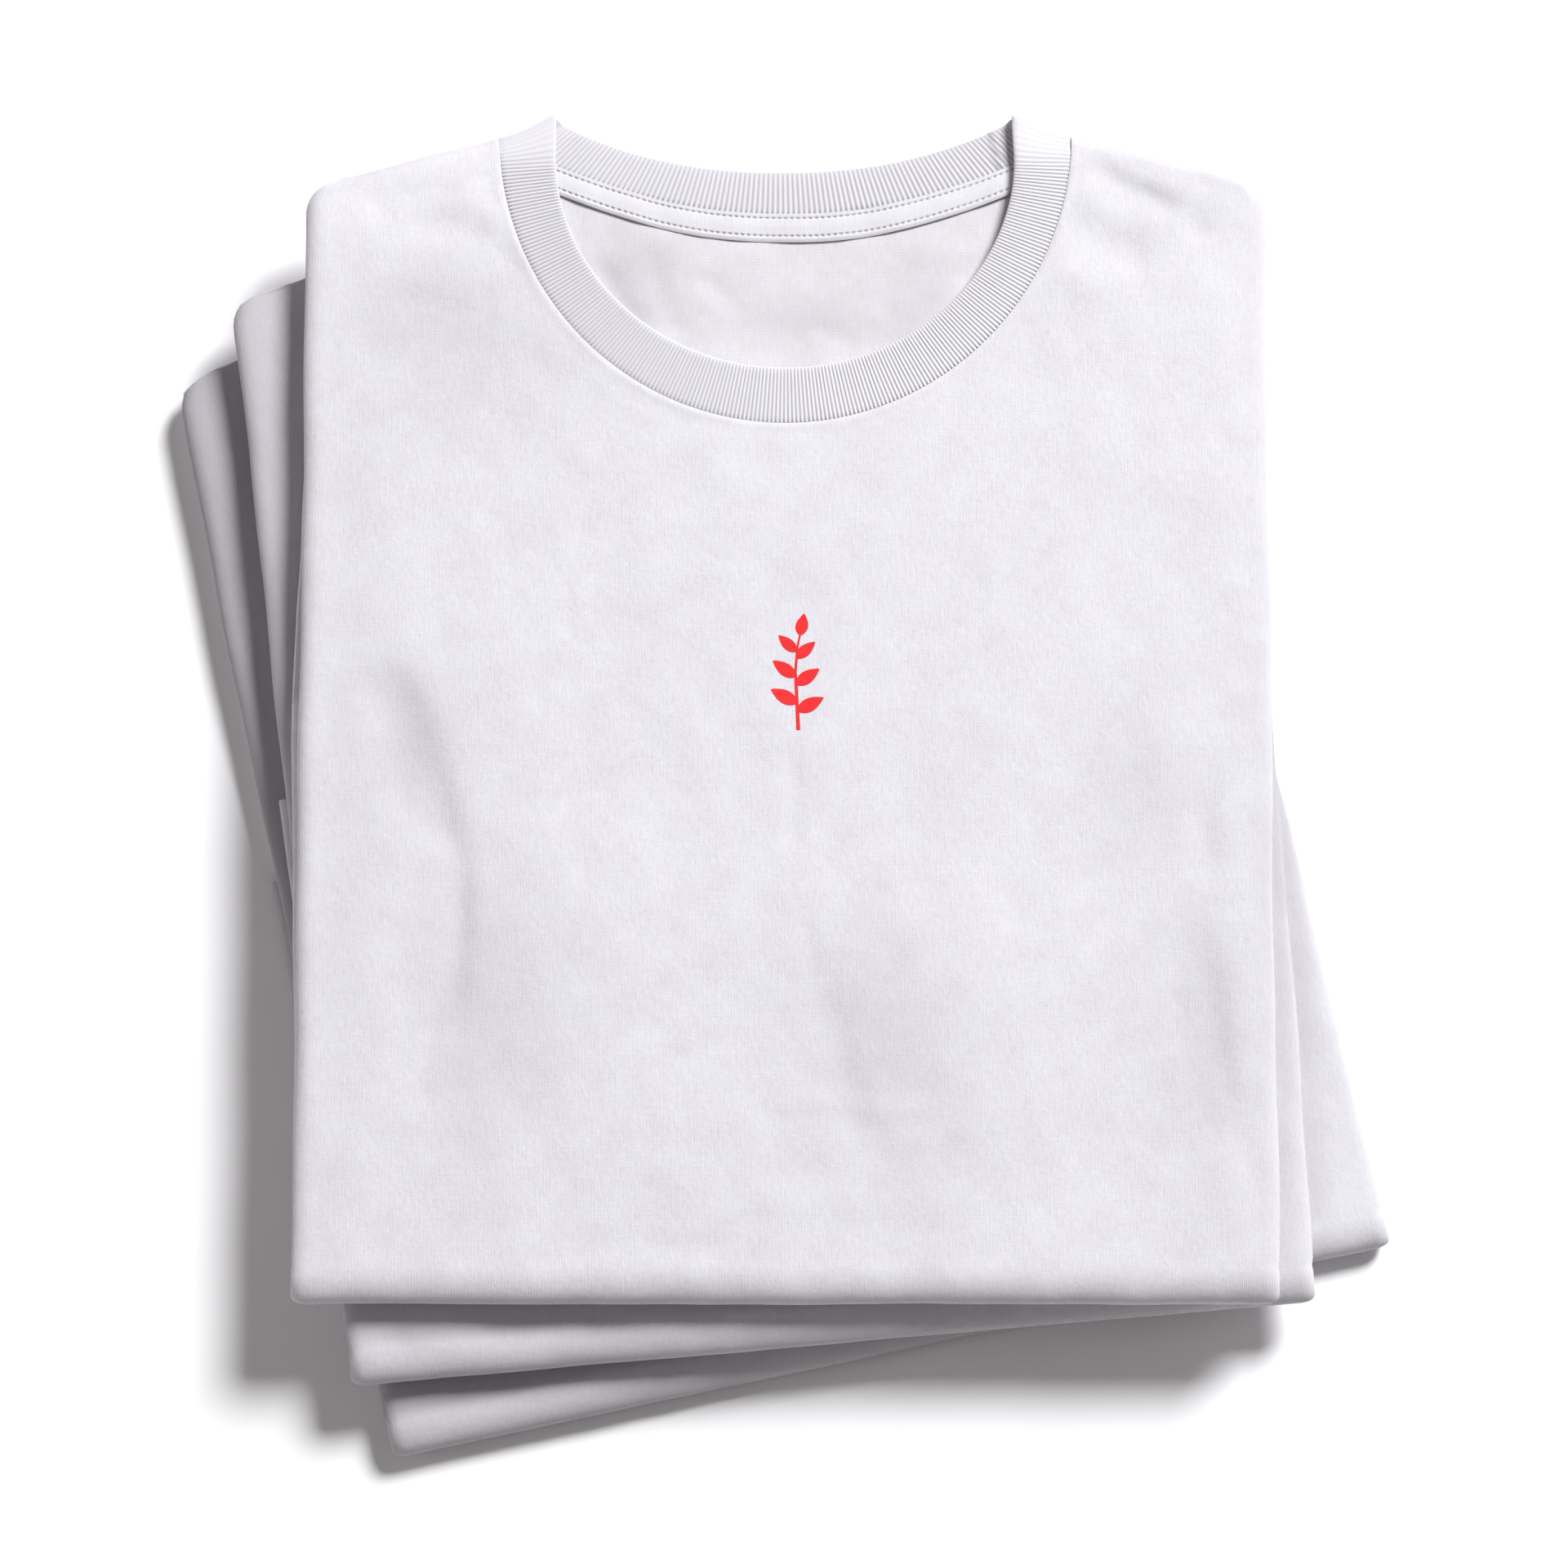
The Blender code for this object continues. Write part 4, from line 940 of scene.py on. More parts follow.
def back_columns(inner, count):
    """Distances across from right to left, and the share of the turn to the side fold."""
    neck = NECK_HALF * np.sin(np.linspace(0, math.pi / 2, count.neck + 1))
    across = mirrored(np.concatenate((neck, np.linspace(NECK_HALF, inner, 18)[1:])))[::-1]
    rolls = np.linspace(0, 1, 7)[1:]
    edge = np.full(len(rolls), inner)
    return np.concatenate((edge, across, -edge)), np.concatenate((rolls[::-1], 0 * across, rolls))


def back_points(shirt, count):
    """The back panel's outer face, seen from below, as rows from under the neckline up."""
    inner = float(half_width(shirt, NECK_TOP)) - SIDE_ROLL - BACK_SIDE
    high, roll = back_columns(inner, count)
    end = back_end(np.abs(high) + BACK_SIDE * roll)
    rows = [("body", t) for t in np.linspace(0, 1, count.body // 3)]
    rows += [("end", t) for t in np.linspace(0, 1, count.end + 2)]
    points, cloth, painted_shade_amount = [], [], []
    for stretch, share in rows:
        angle = math.radians(BACK_TURN * share) if stretch == "end" else 0.0
        v = end - SHOULDER_ROLL * (1 - math.sin(angle))
        if stretch == "body":
            v = BACK_REACH + (end - SHOULDER_ROLL - BACK_STEP - BACK_REACH) * share
        flat = half_width(shirt, v) - SIDE_ROLL
        covered = np.maximum(0.0, 180 - wrap_angle(v, end) - WRAP_GAP)
        reach = flat + ROLL_ARC * covered / 90
        girth = flat - BACK_SIDE + (reach - flat + BACK_SIDE) * roll
        beyond = np.maximum(0.0, girth - flat) / ROLL_ARC * 90
        turn = np.radians(beyond)
        at_side = np.where(beyond > 0, flat + SIDE_ROLL * np.sin(turn), girth)
        wide = np.maximum(0.0, np.abs(high) - NECK_HALF) * (flat - BACK_SIDE - NECK_HALF)
        level = np.minimum(np.abs(high), NECK_HALF) + wide / (inner - NECK_HALF)
        side = np.copysign(np.where(roll > 0, at_side, level), high)
        inward = np.where(beyond > 0, PAD / 2 * (1 - np.cos(turn)), 0.0)
        ease = smooth((np.abs(high) / NECK_HALF - 0.985) / 0.015)
        tip = ease * math.sin(angle)
        normal = (tip, -np.sqrt(1 - tip * tip))
        w = THICK - PAD + back_bulge(side, v) + ease * (PAD / 2) * (1 - math.cos(angle))
        side = side - corner_shift(shirt, side, v, end)
        drape, in_neck = back_drape(shirt, side, v)
        # Painted shade in the creases and broad patches inside the neck.
        painted_shade_amount.append(np.clip(painted_shade("inside", side, v, drape) * in_neck, 0.0, 1.0))
        w = w - drape * in_neck * smooth((end - DRAPE_END - v) / DRAPE_FADE)
        points.append(np.stack((side, v - inward * normal[0], w - inward * normal[1]), -1))
        cloth.append(np.stack((np.copysign(np.where(roll > 0, girth, level), high), v), -1))
    return place_all(shirt, points), np.array(cloth), np.array(painted_shade_amount)


for shirt in SHIRTS:
    points, cloth, painted_shade_amount = back_points(shirt, FINE if shirt is TOP else COARSE)
    back = sheet(f"{shirt.name}_back_cloth", points, cloth, CLOTH, REVERSE, painted_shade_amount=painted_shade_amount)
    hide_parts(f"{shirt.name}_back")
    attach(back, "root")

# %% [markdown]
# ## The neckband
#
# The neckband is 1 x 1 rib, folded double along its free edge. Its ribs run across it, 1.5 mm
# apart in front and 1.7 mm behind, where it is stretched. On a folded shirt it lies as a flat
# ring: outside up in front, over itself at each shoulder, and inside up behind. A grid is rolled
# up into this ring: each of its rows becomes a cut across the band, six for each rib, so that
# each groove is a real one. It is a closed form, so it gets no wall.

# %% The band's sizes
BAND_HALF = 0.0895  # half its opening's width
BAND_PEAK = 0.4710  # its free edge at a shoulder
BAND_ARC_TOP = 0.4550  # the opening's sides are straight down to here
BAND_BACK = 0.4497  # its free edge behind, at the middle
BAND_WIDTH = 0.0225
BAND_LENGTHS = (0.3248, 0.1904)  # along its seam, in front and behind
BAND_LEVELS = ((THICK - 0.0009, THICK - 0.0009), (0.0076, 0.0048))  # of its seam and free edge
RIB_PITCHES, RIB_RELIEF = (0.00147, 0.00168), 0.00036  # in front and behind, and their depth
RIB_CUTS, PLAIN_CUT = 6, 0.004  # cuts for each rib, and their distance where it has none
RIB_SHADE = 0.56  # painted shade in the grooves between the ribs
RIB_FADE, RIB_FADED = 0.018, 0.85  # this close to a shoulder the ribs are pressed flat
SEWN = 0.00002  # the band's edge stands this close to the front panel's
BAND_OVER_TAPE = 0.0007  # behind, its seam edge lies this far over the neckline
BAND_TURN, BAND_CREASE_LEVEL = 0.0014, 0.0092  # radius and height of its turn at a shoulder
BAND_RISE = 0.009  # it rises from that turn to its own level over this length
BAND_TOP = NECK_TOP - 0.0018  # its seam edge ends here, so its turn is level with the shoulder
PEAK_SHIFT, PEAK_LIFT = 0.0011, 0.0016  # its right peak lies further in, its left one higher
PEAK_SAG = 0.0011  # how far its shoulder fold hangs between the peak and the seam
SQUARE = 0.012  # its ribs stand square to its edges up to this far from a shoulder
BACK_SQUARE = 0.6  # and behind, where the band is bent the other way, only in part
JOIN = (0.815, 0.735)  # where the band's own join crosses its free edge and its seam, behind


# %% The band's two edges
def at_marks(marks, reached, line):
    """The points of a line at given distances along it."""
    return np.stack([np.interp(marks, reached, line[:, k]) for k in range(line.shape[1])], -1)


def evenly(points, count):
    """count + 1 points spaced evenly along a line of points."""
    reached = reached_along(points)
    return at_marks(np.linspace(0, reached[-1], count + 1), reached, points)


def back_edges(t):
    """Seam edge and free edge of the band's back half, right to left."""
    share = 1 - 2 * t
    over = BAND_OVER_TAPE * (1 - share**2)
    seam = ((NECK_HALF - SEAM) * share, BACK_SEAM + (BAND_TOP - BACK_SEAM) * share**2 - over)
    rise = (BAND_PEAK - BAND_BACK) * np.abs(share) ** 2.2
    free = (BAND_HALF * share - PEAK_SHIFT * np.maximum(share, 0) ** 8,
            BAND_BACK + rise + PEAK_LIFT * np.maximum(-share, 0) ** 8)
    return np.stack(seam, -1), np.stack(free, -1)


def front_edges(t):
    """Seam edge and free edge of the band's front half, left to right."""
    start = (NECK_TOP - BAND_TOP) / NECK_DROP
    angle = (math.pi - 2 * start) * (t - 0.5)
    seam = ((NECK_HALF - SEWN) * np.sin(angle), NECK_TOP - (NECK_DROP - SEWN) * np.cos(angle))
    straight = 0.06
    from_end = np.minimum(t, 1 - t)
    share = from_end / straight
    angle = math.pi * ((t - straight) / (1 - 2 * straight) - 0.5)
    across = np.where(share < 1, np.copysign(BAND_HALF, t - 0.5), BAND_HALF * np.sin(angle))
    up = np.where(share < 1, BAND_PEAK + (BAND_ARC_TOP - BAND_PEAK) * share,
                  BAND_ARC_TOP - (BAND_ARC_TOP - BAND_FRONT) * np.cos(angle))
    near = smooth(1 - from_end / 0.12)
    free = (across - PEAK_SHIFT * near * (t > 0.5), up + PEAK_LIFT * near * (t < 0.5))
    return np.stack(seam, -1), np.stack(free, -1)


def ribs_across(seam, free, count, square):
    """Points along both edges, so that what joins them stands square, as ribs do.

    At each end the last rib lies along the shoulder fold, which isn't square, and square says
    how far the others follow the nearest way across.
    """
    marks, reached = evenly(seam, count), reached_along(free)
    away = np.linalg.norm(marks[:, None] - free[None, ::5], axis=2)
    nearest = reached[::5][away.argmin(1)]
    run = np.arange(count + 1) / count * reached_along(seam)[-1]
    nearest -= nearest[0] * (1 - smooth(run / SQUARE))
    nearest += (reached[-1] - nearest[-1]) * (1 - smooth((run[-1] - run) / SQUARE))
    at = square * nearest + (1 - square) * np.linspace(0, reached[-1], count + 1)
    at = np.convolve(np.pad(at, 6, "reflect", reflect_type="odd"), np.ones(13) / 13, "valid")
    return marks, at_marks(at, reached, free)


def band_edges(half, count):
    """Points along both edges of the band's front half, or of its back half."""
    t = np.linspace(0, 1, 1501)
    if half:
        return ribs_across(*back_edges(t), count, BACK_SQUARE)
    return ribs_across(*front_edges(t), count, 1.0)


# %% Cuts across the band, and the form of one cut
Cut = collections.namedtuple("Cut", "seam free levels face bulge rib along end tone")


def painted_band_shade(half, t):
    """Painted shade on the band, from one shoulder to the next: in front it fades from the left
    shoulder; behind it is all over, grows to the left, and is a painted shadow beside the right
    shoulder fold.
    """
    if half:
        return 0.26 + 0.10 * t + 0.35 * bell(t, 0.028)
    return 0.25 * (1 - t) ** 2


def band_cuts(ribbed):
    """The cuts round the whole ring: front, shoulder, back, shoulder."""
    cuts, run = [], 0.0
    for half, length in enumerate(BAND_LENGTHS):
        hand = -1 if half else 1
        ribs = int(round(length / RIB_PITCHES[half]))
        count = ribs * RIB_CUTS if ribbed else int(length / PLAIN_CUT)
        seam, free = band_edges(half, count)
        crease = BAND_CREASE_LEVEL + hand * BAND_TURN
        for i in range(count + 1):
            t, from_end = i / count, min(i, count - i) / count * length
            rise = float(smooth(from_end / BAND_RISE))
            levels = tuple(crease + (level - crease) * rise for level in BAND_LEVELS[half])
            rib = i / RIB_CUTS if ribbed else None
            share = 1 - 2 * t if half else None
            end = 1 - float(smooth(from_end / RIB_FADE))
            cuts.append(Cut(seam[i], free[i], levels, math.pi * half, (0, 0), rib,
                            (run + t * length, share), end, painted_band_shade(half, t)))
        run += length
        last, steps = cuts[-1], 10 if ribbed else 6
        way = (last.free - last.seam) / np.linalg.norm(last.free - last.seam)
        out = np.array((-way[1], way[0]) if way[0] > 0 else (way[1], -way[0]))
        for share in np.linspace(0, 1, steps + 1)[1:-1]:
            angle = math.pi * share
            push = out * BAND_TURN * math.sin(angle)
            level = BAND_CREASE_LEVEL + hand * BAND_TURN * math.cos(angle)
            tone = last.tone + (painted_band_shade(1 - half, 0) - last.tone) * share
            cuts.append(Cut(last.seam + push, last.free + push, (level, level),
                            math.pi * half + angle, tuple(out), 3 * share if ribbed else None,
                            (run, None), 1.0, tone))
    return cuts


# Round one cut: share of the way from the seam to the free edge, and height on each face
CUT_FORM = (
    (0.000, 0.80), (0.030, 0.97), (0.10, 1.00), (0.28, 1.02), (0.50, 1.03), (0.72, 1.02),
    (0.88, 1.00), (0.955, 0.86), (0.990, 0.45), (1.000, 0.0), (0.990, -0.45), (0.955, -0.86),
    (0.82, -1.00), (0.50, -1.02), (0.15, -1.00), (0.030, -0.85),
)
ALONG_CUT, CUT_HEIGHT = np.array(CUT_FORM).T
TURNED_UNDER = np.arange(len(CUT_FORM)) > ALONG_CUT.argmax()


def ribbed_cut(cut, height, shade):
    """Presses a cut's height in where it is in a groove, and shades it there."""
    groove = 0.5 - 0.5 * math.cos(2 * math.pi * cut.rib)
    edge = 1 - 0.65 * smooth((ALONG_CUT - 0.90) / 0.10)
    edge = edge + 0.5 * bell(ALONG_CUT, 0.04) * (CUT_HEIGHT > 0)
    deep = (1 - groove**0.6) * edge * (1 - RIB_FADED * cut.end)
    return height - np.sign(CUT_HEIGHT) * RIB_RELIEF * deep, shade + RIB_SHADE * deep


def joined_cut(cut, height, shade):
    """The band's own join behind: a narrow trough with a ridge beside it."""
    joined = JOIN[1] + (JOIN[0] - JOIN[1]) * ALONG_CUT
    gap = (cut.along[1] - joined) * BAND_LENGTHS[1] / 2
    height = height * (1 - 0.45 * bell(gap, 0.0008)) * (1 + 0.22 * bell(gap + 0.0024, 0.0013))
    return height, shade + 0.8 * bell(gap, 0.0009)


def closed(grid):
    """Repeats a grid's first row and its first column at its end, so that it meets itself."""
    grid = np.concatenate((grid, grid[:1]))
    return np.concatenate((grid, grid[:, :1]), axis=1)


def band_points(shirt, ribbed):
    """The band's points, cuts by places round each cut, and their places on the cloth."""
    points, cloth, painted_shade_amount = [], [], []
    for cut in band_cuts(ribbed):
        width = float(np.linalg.norm(cut.free - cut.seam))
        plan = cut.seam + (cut.free - cut.seam) * ALONG_CUT[:, None]
        plan[:, 1] -= PEAK_SAG * np.sin(math.pi * ALONG_CUT) * cut.end**3
        level = cut.levels[0] + (cut.levels[1] - cut.levels[0]) * ALONG_CUT
        height = CUT_HEIGHT * BAND_CLOTH / 2
        # Painted shade: the band's own share along the ring, and more on its rounded free edge.
        shade = cut.tone + 0.15 * smooth((ALONG_CUT - 0.85) / 0.1)
        if cut.rib is not None:
            height, shade = ribbed_cut(cut, height, shade)
        if cut.along[1] is not None:
            height, shade = joined_cut(cut, height, shade)
        plan += np.array(cut.bulge) * (height * abs(math.sin(cut.face)))[:, None]
        points.append(np.column_stack((plan, level + height * math.cos(cut.face))))
        painted_shade_amount.append(np.clip(shade, 0.0, 1.0))
        over = np.where(TURNED_UNDER, 2 - ALONG_CUT, ALONG_CUT)
        cloth.append(np.stack((np.full(len(CUT_FORM), cut.along[0]), over * width), -1))
    cloth = np.concatenate((cloth, [cloth[-1] + (BAND_TURN, 0)]))
    cloth = np.concatenate((cloth, cloth[:, :1] + (0, 2 * BAND_WIDTH)), axis=1)
    return place_all(shirt, closed(points)), cloth, closed(painted_shade_amount)


# %% Three neckbands
for shirt in SHIRTS:
    points, cloth, painted_shade_amount = band_points(shirt, shirt is TOP)
    name = f"{shirt.name}_rib_neckband"
    band = sheet(name, points, cloth, 0, RIB, tube=True, sharp=70, painted_shade_amount=painted_shade_amount)
    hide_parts(f"{shirt.name}_neckband")
    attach(band, "root")

# %% [markdown]
# ## The neck tape
#
# A strip of the same cotton covers the seam at the back of the neck. It is just under 12 mm
# wide, with a row of stitches near each edge. Between them the covered seam pushes up a soft
# ridge, and each stitch pulls in a small dimple. On the top shirt its grid is fine enough for
# dimples in the mesh itself, because a bump in the material leaves no shadow beside a thread.

# %% Neck tapes
TAPE_WIDTH, TAPE_HALF, TAPE_LIFT = 0.0116, 0.102, 0.0003  # its lift is over the back panel
TAPE_END = 0.0002  # its upper edge stops this far from the neckline, on the neckband's edge
TAPE_ROWS = (0.0024, 0.0097)  # from its lower edge to its two rows of stitches
STITCH = 0.0024  # from one stitch to the next
ROW_DEPTH, HOLE_DEPTH, EDGE_DEPTH = 0.00012, 0.00035, 0.00035
ROW_COLUMNS = (-0.0007, -0.00045, -0.0002, 0.0, 0.0002, 0.00045, 0.0007)  # close to each row


def tape_point(shirt, u, up):
    """A point of the tape's upper face, up from its lower edge."""
    v = back_end(u) - TAPE_END - TAPE_WIDTH + up + 0.0002 * np.sin(u * 95 + 2)
    ridge = 0.00010 * bell(up - 0.0062, 0.0020)
    wave = 0.00010 * np.sin(u * 310 + 1) + 0.00008 * np.sin(u * 170)
    w = THICK - PAD + CLOTH + TAPE_LIFT + TAPE_CLOTH + ridge + wave
    rows, hole = sewn_rows(u, up)
    w = w - ROW_DEPTH * rows - HOLE_DEPTH * hole - EDGE_DEPTH * bell(up, 0.0007)
    return place(shirt, u, v, w)


def sewn_rows(u, up):
    """How near a point is to a row of stitches, and to one of its needle holes."""
    rows = sum(bell(up - row, 0.00042) for row in TAPE_ROWS)
    return rows, rows * smooth(0.5 + 0.9 * np.cos(2 * math.pi * u / STITCH))


for shirt in SHIRTS:
    across = np.linspace(-TAPE_HALF, TAPE_HALF, 571 if shirt is TOP else 61)
    up = np.linspace(0.0, TAPE_WIDTH, 18 if shirt is TOP else 10)
    if shirt is TOP:
        close = [row + np.array(ROW_COLUMNS) for row in TAPE_ROWS]
        up = np.sort(np.concatenate((up, [0.0003], *close)))
    u, rise = np.meshgrid(across, up)
    points, cloth = tape_point(shirt, u, rise), np.stack((u, rise), -1)
    # Painted shade in the needle holes, and a painted shadow along the tape's lower edge.
    painted_shade_amount = 0.95 * sewn_rows(u, rise)[1] + 0.3 * bell(rise, 0.0006)
    tape = sheet(f"{shirt.name}_cotton_tape", points, cloth, TAPE_CLOTH, TAPE, painted_shade_amount=painted_shade_amount)
    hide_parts(f"{shirt.name}_neck_tape")
    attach(tape, "root")

# %% [markdown]
# ### Stitches
#
# One stitch is a short grain of thread, round and pulled in at both ends. It is modelled once
# from a small ball, repeated by an Array modifier, and the straight row is then bent to its line
# on the cloth: each vertex keeps its distance along the row and its place round the thread.


# %% A row of stitches
def stitch_row(name, line, pitch, thread, length, face=1):
    """Stitches along a line of points; face is 1 on an upper face and -1 on an underside."""
    reached = reached_along(line)
    count = int(reached[-1] / pitch)
    bpy.ops.object.select_all(action="DESELECT")
    bpy.ops.mesh.primitive_uv_sphere_add(segments=6, ring_count=5, radius=0.5,
                                         rotation=(0, math.pi / 2, 0))
    bpy.ops.object.transform_apply(location=False, rotation=True, scale=False)
    row = bpy.context.object
    row.name = row.data.name = name
    row.scale = (length, thread, thread * 0.8)
    row.location = (pitch / 2, 0, 0)
    bpy.ops.object.transform_apply(location=True, rotation=False, scale=True)
    repeat = row.modifiers.new("repeat", "ARRAY")
    repeat.count = count
    repeat.use_relative_offset = False
    repeat.use_constant_offset = True
    repeat.constant_offset_displace = (pitch, 0, 0)
    apply_all(row)
    flat = np.zeros(len(row.data.vertices) * 3, np.float32)
    row.data.vertices.foreach_get("co", flat)
    along, side, up = flat.reshape(-1, 3).astype(float).T
    near = 2e-4
    way = at_marks(along + near, reached, line) - at_marks(along - near, reached, line)
    way /= np.linalg.norm(way, axis=1, keepdims=True)
    left = np.stack((-way[:, 1], way[:, 0], 0 * along), -1)
    moved = at_marks(along, reached, line) + left * (side * face)[:, None]
    moved[:, 2] += up * face
    row.data.vertices.foreach_set("co", moved.astype(np.float32).ravel())
    row.data.materials.append(THREAD)
    bpy.ops.object.shade_smooth()
    print(f"{name}: {count} stitches, {len(row.data.polygons)} faces")
    return row


# %% The tape's stitches and the lowest hem's
TAPE_THREAD, TAPE_GRAIN, TAPE_PROUD = 0.00030, 0.0010, 0.00004
HEM_STITCH, HEM_THREAD, HEM_GRAIN, HEM_LEVEL = 0.0030, 0.00036, 0.0025, 0.00022
first_hole = math.floor(-TAPE_HALF / STITCH + 2) * STITCH
across = np.linspace(first_hole, -first_hole, 400)
for number, row_at in enumerate(TAPE_ROWS):
    line = tape_point(TOP, across, row_at + 0 * across) + (0, 0, TAPE_PROUD)
    row = stitch_row(f"tape_stitches_{number + 1}", line, STITCH, TAPE_THREAD, TAPE_GRAIN)
    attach(row, "root")
half = float(half_width(BOTTOM, 0.2)) - SIDE_ROLL - 0.002
across = np.linspace(-half, half, 60)
for number, row_at in enumerate(HEM_ROWS):
    shift = -FLAP_SKEW * (row_at - FRONT_ROLL)
    line = place(BOTTOM, across + shift, row_at + 0 * across, HEM_LEVEL + 0 * across)
    name = f"hem_stitches_{number + 1}"
    row = stitch_row(name, line, HEM_STITCH, HEM_THREAD, HEM_GRAIN, face=-1)
    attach(row, "root")

# %% [markdown]
# ## The folded-in sides with their sleeves
#
# Under the back half of each shirt lie its sides, folded in together with the sleeves. From
# beside the stack they show as two soft folded edges, one on the other. A ball's rings are moved
# to this form: the middle rings go round the outline with a crease between the two edges, and
# the rings towards the poles close the upper and lower face. Solidify makes it hollow cloth.

# %% Sides and sleeves
SIDE_WALL = 0.0006
SLEEVE = {"start": 0.2340, "top": 0.425, "inner": 0.002, "inset": 0.0020, "gap": 0.0004,
          "lobe": 0.0014, "peep": 0.0053}  # peep: how far a corner shows beside the flap


def sleeve_outline(shirt, side, count):
    """The folded-in side from above, as evenly spaced points round it, anticlockwise."""
    outside = float(half_width(shirt, SLEEVE["start"])) - SLEEVE["inset"]
    top = float(back_end(outside)) - SHOULDER_ROLL
    peep = SLEEVE["peep"] if shirt is TOP and side < 0 else 0.0
    corners = (
        (SLEEVE["inner"], SLEEVE["start"], 0.003), (outside + peep, SLEEVE["start"], 0.0006),
        (outside, top - 3.5 * CORNER, 0.002), (outside, top, CORNER),
        (NECK_HALF + NOTCH, SLEEVE["top"] + NOTCH, 0.020), (SLEEVE["inner"], SLEEVE["top"], 0.005),
    )
    line = []
    for i, (u, v, radius) in enumerate(corners):
        here = np.array((u, v))
        ways = [np.array(corners[n][:2]) - here for n in ((i + 1) % len(corners), i - 1)]
        ahead, behind = (way / np.linalg.norm(way) for way in ways)
        for t in np.linspace(0, 1, 9):
            line.append(here + behind * (1 - t) ** 2 * radius + ahead * t**2 * radius)
    line = evenly(np.array([*line, line[0]]), count)[:-1]
    middle = line.mean(0)
    wave = 1 + 0.004 * np.sin(np.arange(count) * 11 / count * 2 * math.pi + shirt.level + side)
    waved = middle + (line - middle) * np.minimum(wave, 1.0)[:, None]
    line = np.where(line[:, :1] > outside - 0.01, waved, line)
    return line * (side, 1) if side > 0 else (line * (side, 1))[::-1]


def sleeve_profile(reach):
    """For each ring from the lower pole up: how far inside the outline, and its level."""
    inner = [(reach * share, 0.0) for share in (0.75, 0.45, 0.22, 0.08, 0.03)]
    turn = np.linspace(-1, 1, 9)
    edge = [(SLEEVE["lobe"] * (1 - math.sqrt(1 - t * t)), 0.25 + 0.25 * t) for t in turn]
    edge += [(inset, level + 0.5) for inset, level in edge[1:]]
    return [*inner, *edge, *[(inset, 1.0) for inset, _ in reversed(inner)]]


def make_sleeve(shirt, side):
    """One folded-in side with its sleeve."""
    segments = 140 if shirt is TOP else 110
    outline = sleeve_outline(shirt, side, segments)
    middle = outline.mean(0)
    reach = float(np.linalg.norm(outline - middle, axis=1).max())
    rings = [(reach, 0.0), *sleeve_profile(reach), (reach, 1.0)]
    bpy.ops.object.select_all(action="DESELECT")
    bpy.ops.mesh.primitive_uv_sphere_add(segments=segments, ring_count=len(rings) - 1, radius=1)
    piece = bpy.context.object
    hand = "right" if side > 0 else "left"
    piece.name = piece.data.name = f"{shirt.name}_{hand}_side_folds"
    ball = np.zeros(len(piece.data.vertices) * 3)
    piece.data.vertices.foreach_get("co", ball)
    x, y, z = ball.reshape(-1, 3).T
    up = 1 - np.arccos(np.clip(z, -1, 1)) / math.pi
    ring = np.round(up * (len(rings) - 1)).astype(int)
    spoke = np.round(np.arctan2(y, x) / (2 * math.pi) * segments).astype(int) % segments
    inset, level = np.array(rings)[ring].T
    plan = middle + (outline[spoke] - middle) * (1 - inset / reach)[:, None]
    rest = SLEEVE["gap"] if shirt.level else 0.0
    w = rest + level * (PAD - SLEEVE["gap"] - rest)
    points = place(shirt, plan[:, 0], plan[:, 1], w)
    piece.data.vertices.foreach_set("co", points.astype(np.float32).ravel())
    write_uv(piece.data, plan)
    piece.data.materials.append(JERSEY)
    add_wall(piece, SIDE_WALL)
    smooth_faces(piece, 50)
    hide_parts(f"{shirt.name}_sleeve_{hand}")
    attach(piece, "root")


for shirt in SHIRTS:
    for side in (-1, 1):
        make_sleeve(shirt, side)

# %% [markdown]
# ## The chest print
#
# The top shirt has a small red print on its chest: a sprig with a bent stem and pairs of leaves.
# Ink lies on the knit as a thin film, so each leaf and the stem is a small grid, shaped in the
# flat shirt's own millimetres and laid on the creased cloth a tenth of a millimetre up.

# %% The print
PRINT_AT = (0.0045, 0.2445)
FILM = 0.00012
STEM = ((0.5, -23.0), (0.0, -12.0), (-0.6, 0.0), (0.2, 10.0), (1.4, 16.0))
Leaf = collections.namedtuple("Leaf", "u v heading length width")
LEAVES = (
    Leaf(0.1, -15.5, 28, 11.5, 5.4), Leaf(0.0, -12.5, 150, 11.5, 5.4),
    Leaf(-0.4, -5.0, 35, 11.0, 5.2), Leaf(-0.5, -2.0, 143, 11.0, 5.0),
    Leaf(-0.3, 5.5, 42, 9.8, 4.6), Leaf(-0.2, 8.0, 136, 9.6, 4.4),
    Leaf(1.2, 14.5, 80, 9.0, 4.8),
)


def printed_patch(name, u, v):
    """A film of ink over places given in millimetres from the print's middle."""
    u, v = PRINT_AT[0] + u / 1000, PRINT_AT[1] + v / 1000
    return moved_grid(name, place(TOP, u, v, THICK + FILM + relief(TOP, u, v)), INK)


stem = evenly(np.array(STEM), 24)
way = np.gradient(stem, axis=0)
way /= np.linalg.norm(way, axis=1, keepdims=True)
breadth = np.linspace(0.75, 0.35, len(stem))
sides = np.array((1.0, 0.0, -1.0))[:, None] * breadth
patches = [
    printed_patch("stem", stem[:, 0] + sides * way[:, 1], stem[:, 1] - sides * way[:, 0])
]
for number, leaf in enumerate(LEAVES):
    along, across = np.meshgrid(np.linspace(0, 1, 19), np.linspace(-1, 1, 7))
    half = leaf.width / 2 * np.sin(math.pi * along**0.8) ** 0.85
    heading = math.radians(leaf.heading)
    forward, sideways = along * leaf.length, across * half
    patches.append(printed_patch(
        f"leaf_{number}",
        leaf.u + forward * math.cos(heading) - sideways * math.sin(heading),
        leaf.v + forward * math.sin(heading) + sideways * math.cos(heading)))
bpy.ops.object.select_all(action="DESELECT")
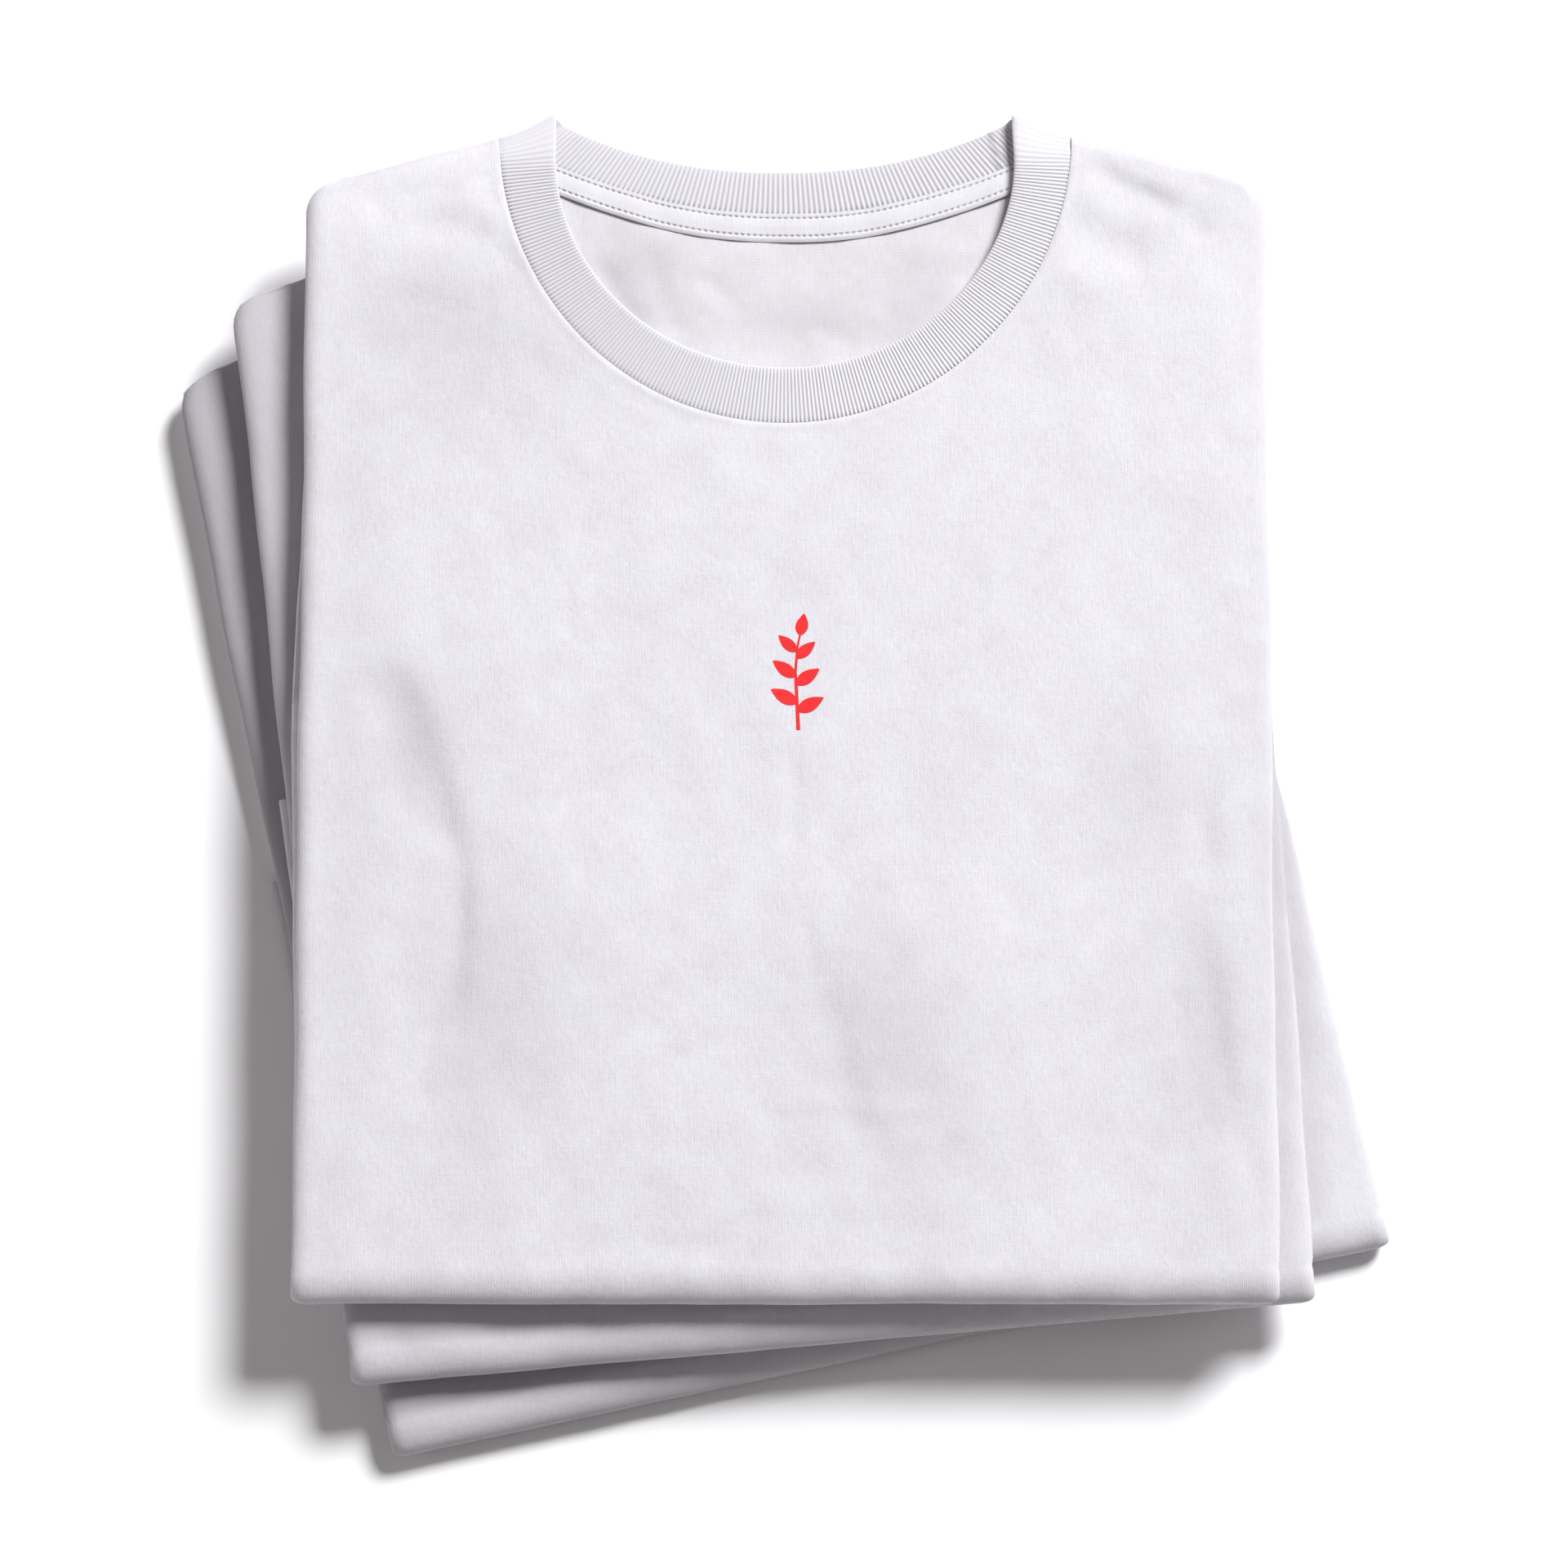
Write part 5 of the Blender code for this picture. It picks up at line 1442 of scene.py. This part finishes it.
for patch in patches:
    patch.select_set(True)
bpy.context.view_layer.objects.active = patches[0]
bpy.ops.object.join()
sprig = bpy.context.object
sprig.name = sprig.data.name = "chest_print_sprig"
join_ends(outwards=True)
bpy.ops.object.shade_smooth()
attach(sprig, "root")
print("print:", len(sprig.data.polygons), "faces")

# %% [markdown]
# ## Floor, light and camera
#
# The shirts lie on a white table. The light is a large soft window from the upper right, about
# 38 degrees high, so that each crease has a light and a shaded side and each edge a soft dark
# shadow to the lower left. A pale room all round and a pale wall on the left, which gives back a
# little light, keep the shadows from going black. The camera looks down at 75 degrees from three
# metres away, with a long lens, so the sides hardly converge.

# %% Floor
bpy.ops.object.select_all(action="DESELECT")
bpy.ops.mesh.primitive_plane_add(size=6.0, location=(0, 0, -0.0002))
floor = bpy.context.object
floor.name = "white_table"
laminate = {"Base Color": linear("FBFAFB"), "Roughness": 0.9}
floor.data.materials.append(new_material("matt_white_laminate", laminate)[0])
print("floor:", floor.name)

# %% Light
LIGHT_AWAY = 8.0


def round_light(name, towards, size, energy, colour):
    """A soft round light in a direction seen from the stack, which it faces."""
    way = np.array(towards) / np.linalg.norm(towards)
    bpy.ops.object.light_add(type="AREA", location=tuple(way * LIGHT_AWAY))
    light = bpy.context.object
    light.name = name
    light.rotation_euler = (math.acos(way[2]), 0, math.atan2(way[1], way[0]) + math.pi / 2)
    light.data.shape = "DISK"
    light.data.size = size
    light.data.energy = energy
    light.data.color = colour
    print(f"{name}: {energy:.0f} W, {size} m across, {LIGHT_AWAY:.0f} m away")


round_light("window", (1.03, 1.22, 1.27), 3.2, 1115.0, (0.98, 0.99, 1.0))
round_light("pale_wall", (-1.0, -0.15, 0.27), 5.0, 125.0, (1.0, 0.965, 0.97))
room = bpy.data.worlds.new("pale_room")
room.use_nodes = True
room.node_tree.nodes["Background"].inputs[0].default_value = (1.0, 0.965, 0.958, 1.0)
room.node_tree.nodes["Background"].inputs[1].default_value = 0.195
bpy.context.scene.world = room
bpy.context.scene.view_settings.view_transform = "Standard"

# %% Camera
bpy.ops.object.camera_add(location=(0.00218, -0.7757, 2.8978), rotation=(math.radians(15), 0, 0))
camera = bpy.context.object
camera.data.lens = 178.4
camera.data.sensor_width = 36.0
bpy.context.scene.camera = camera
print("camera:", camera.data.lens, "mm")
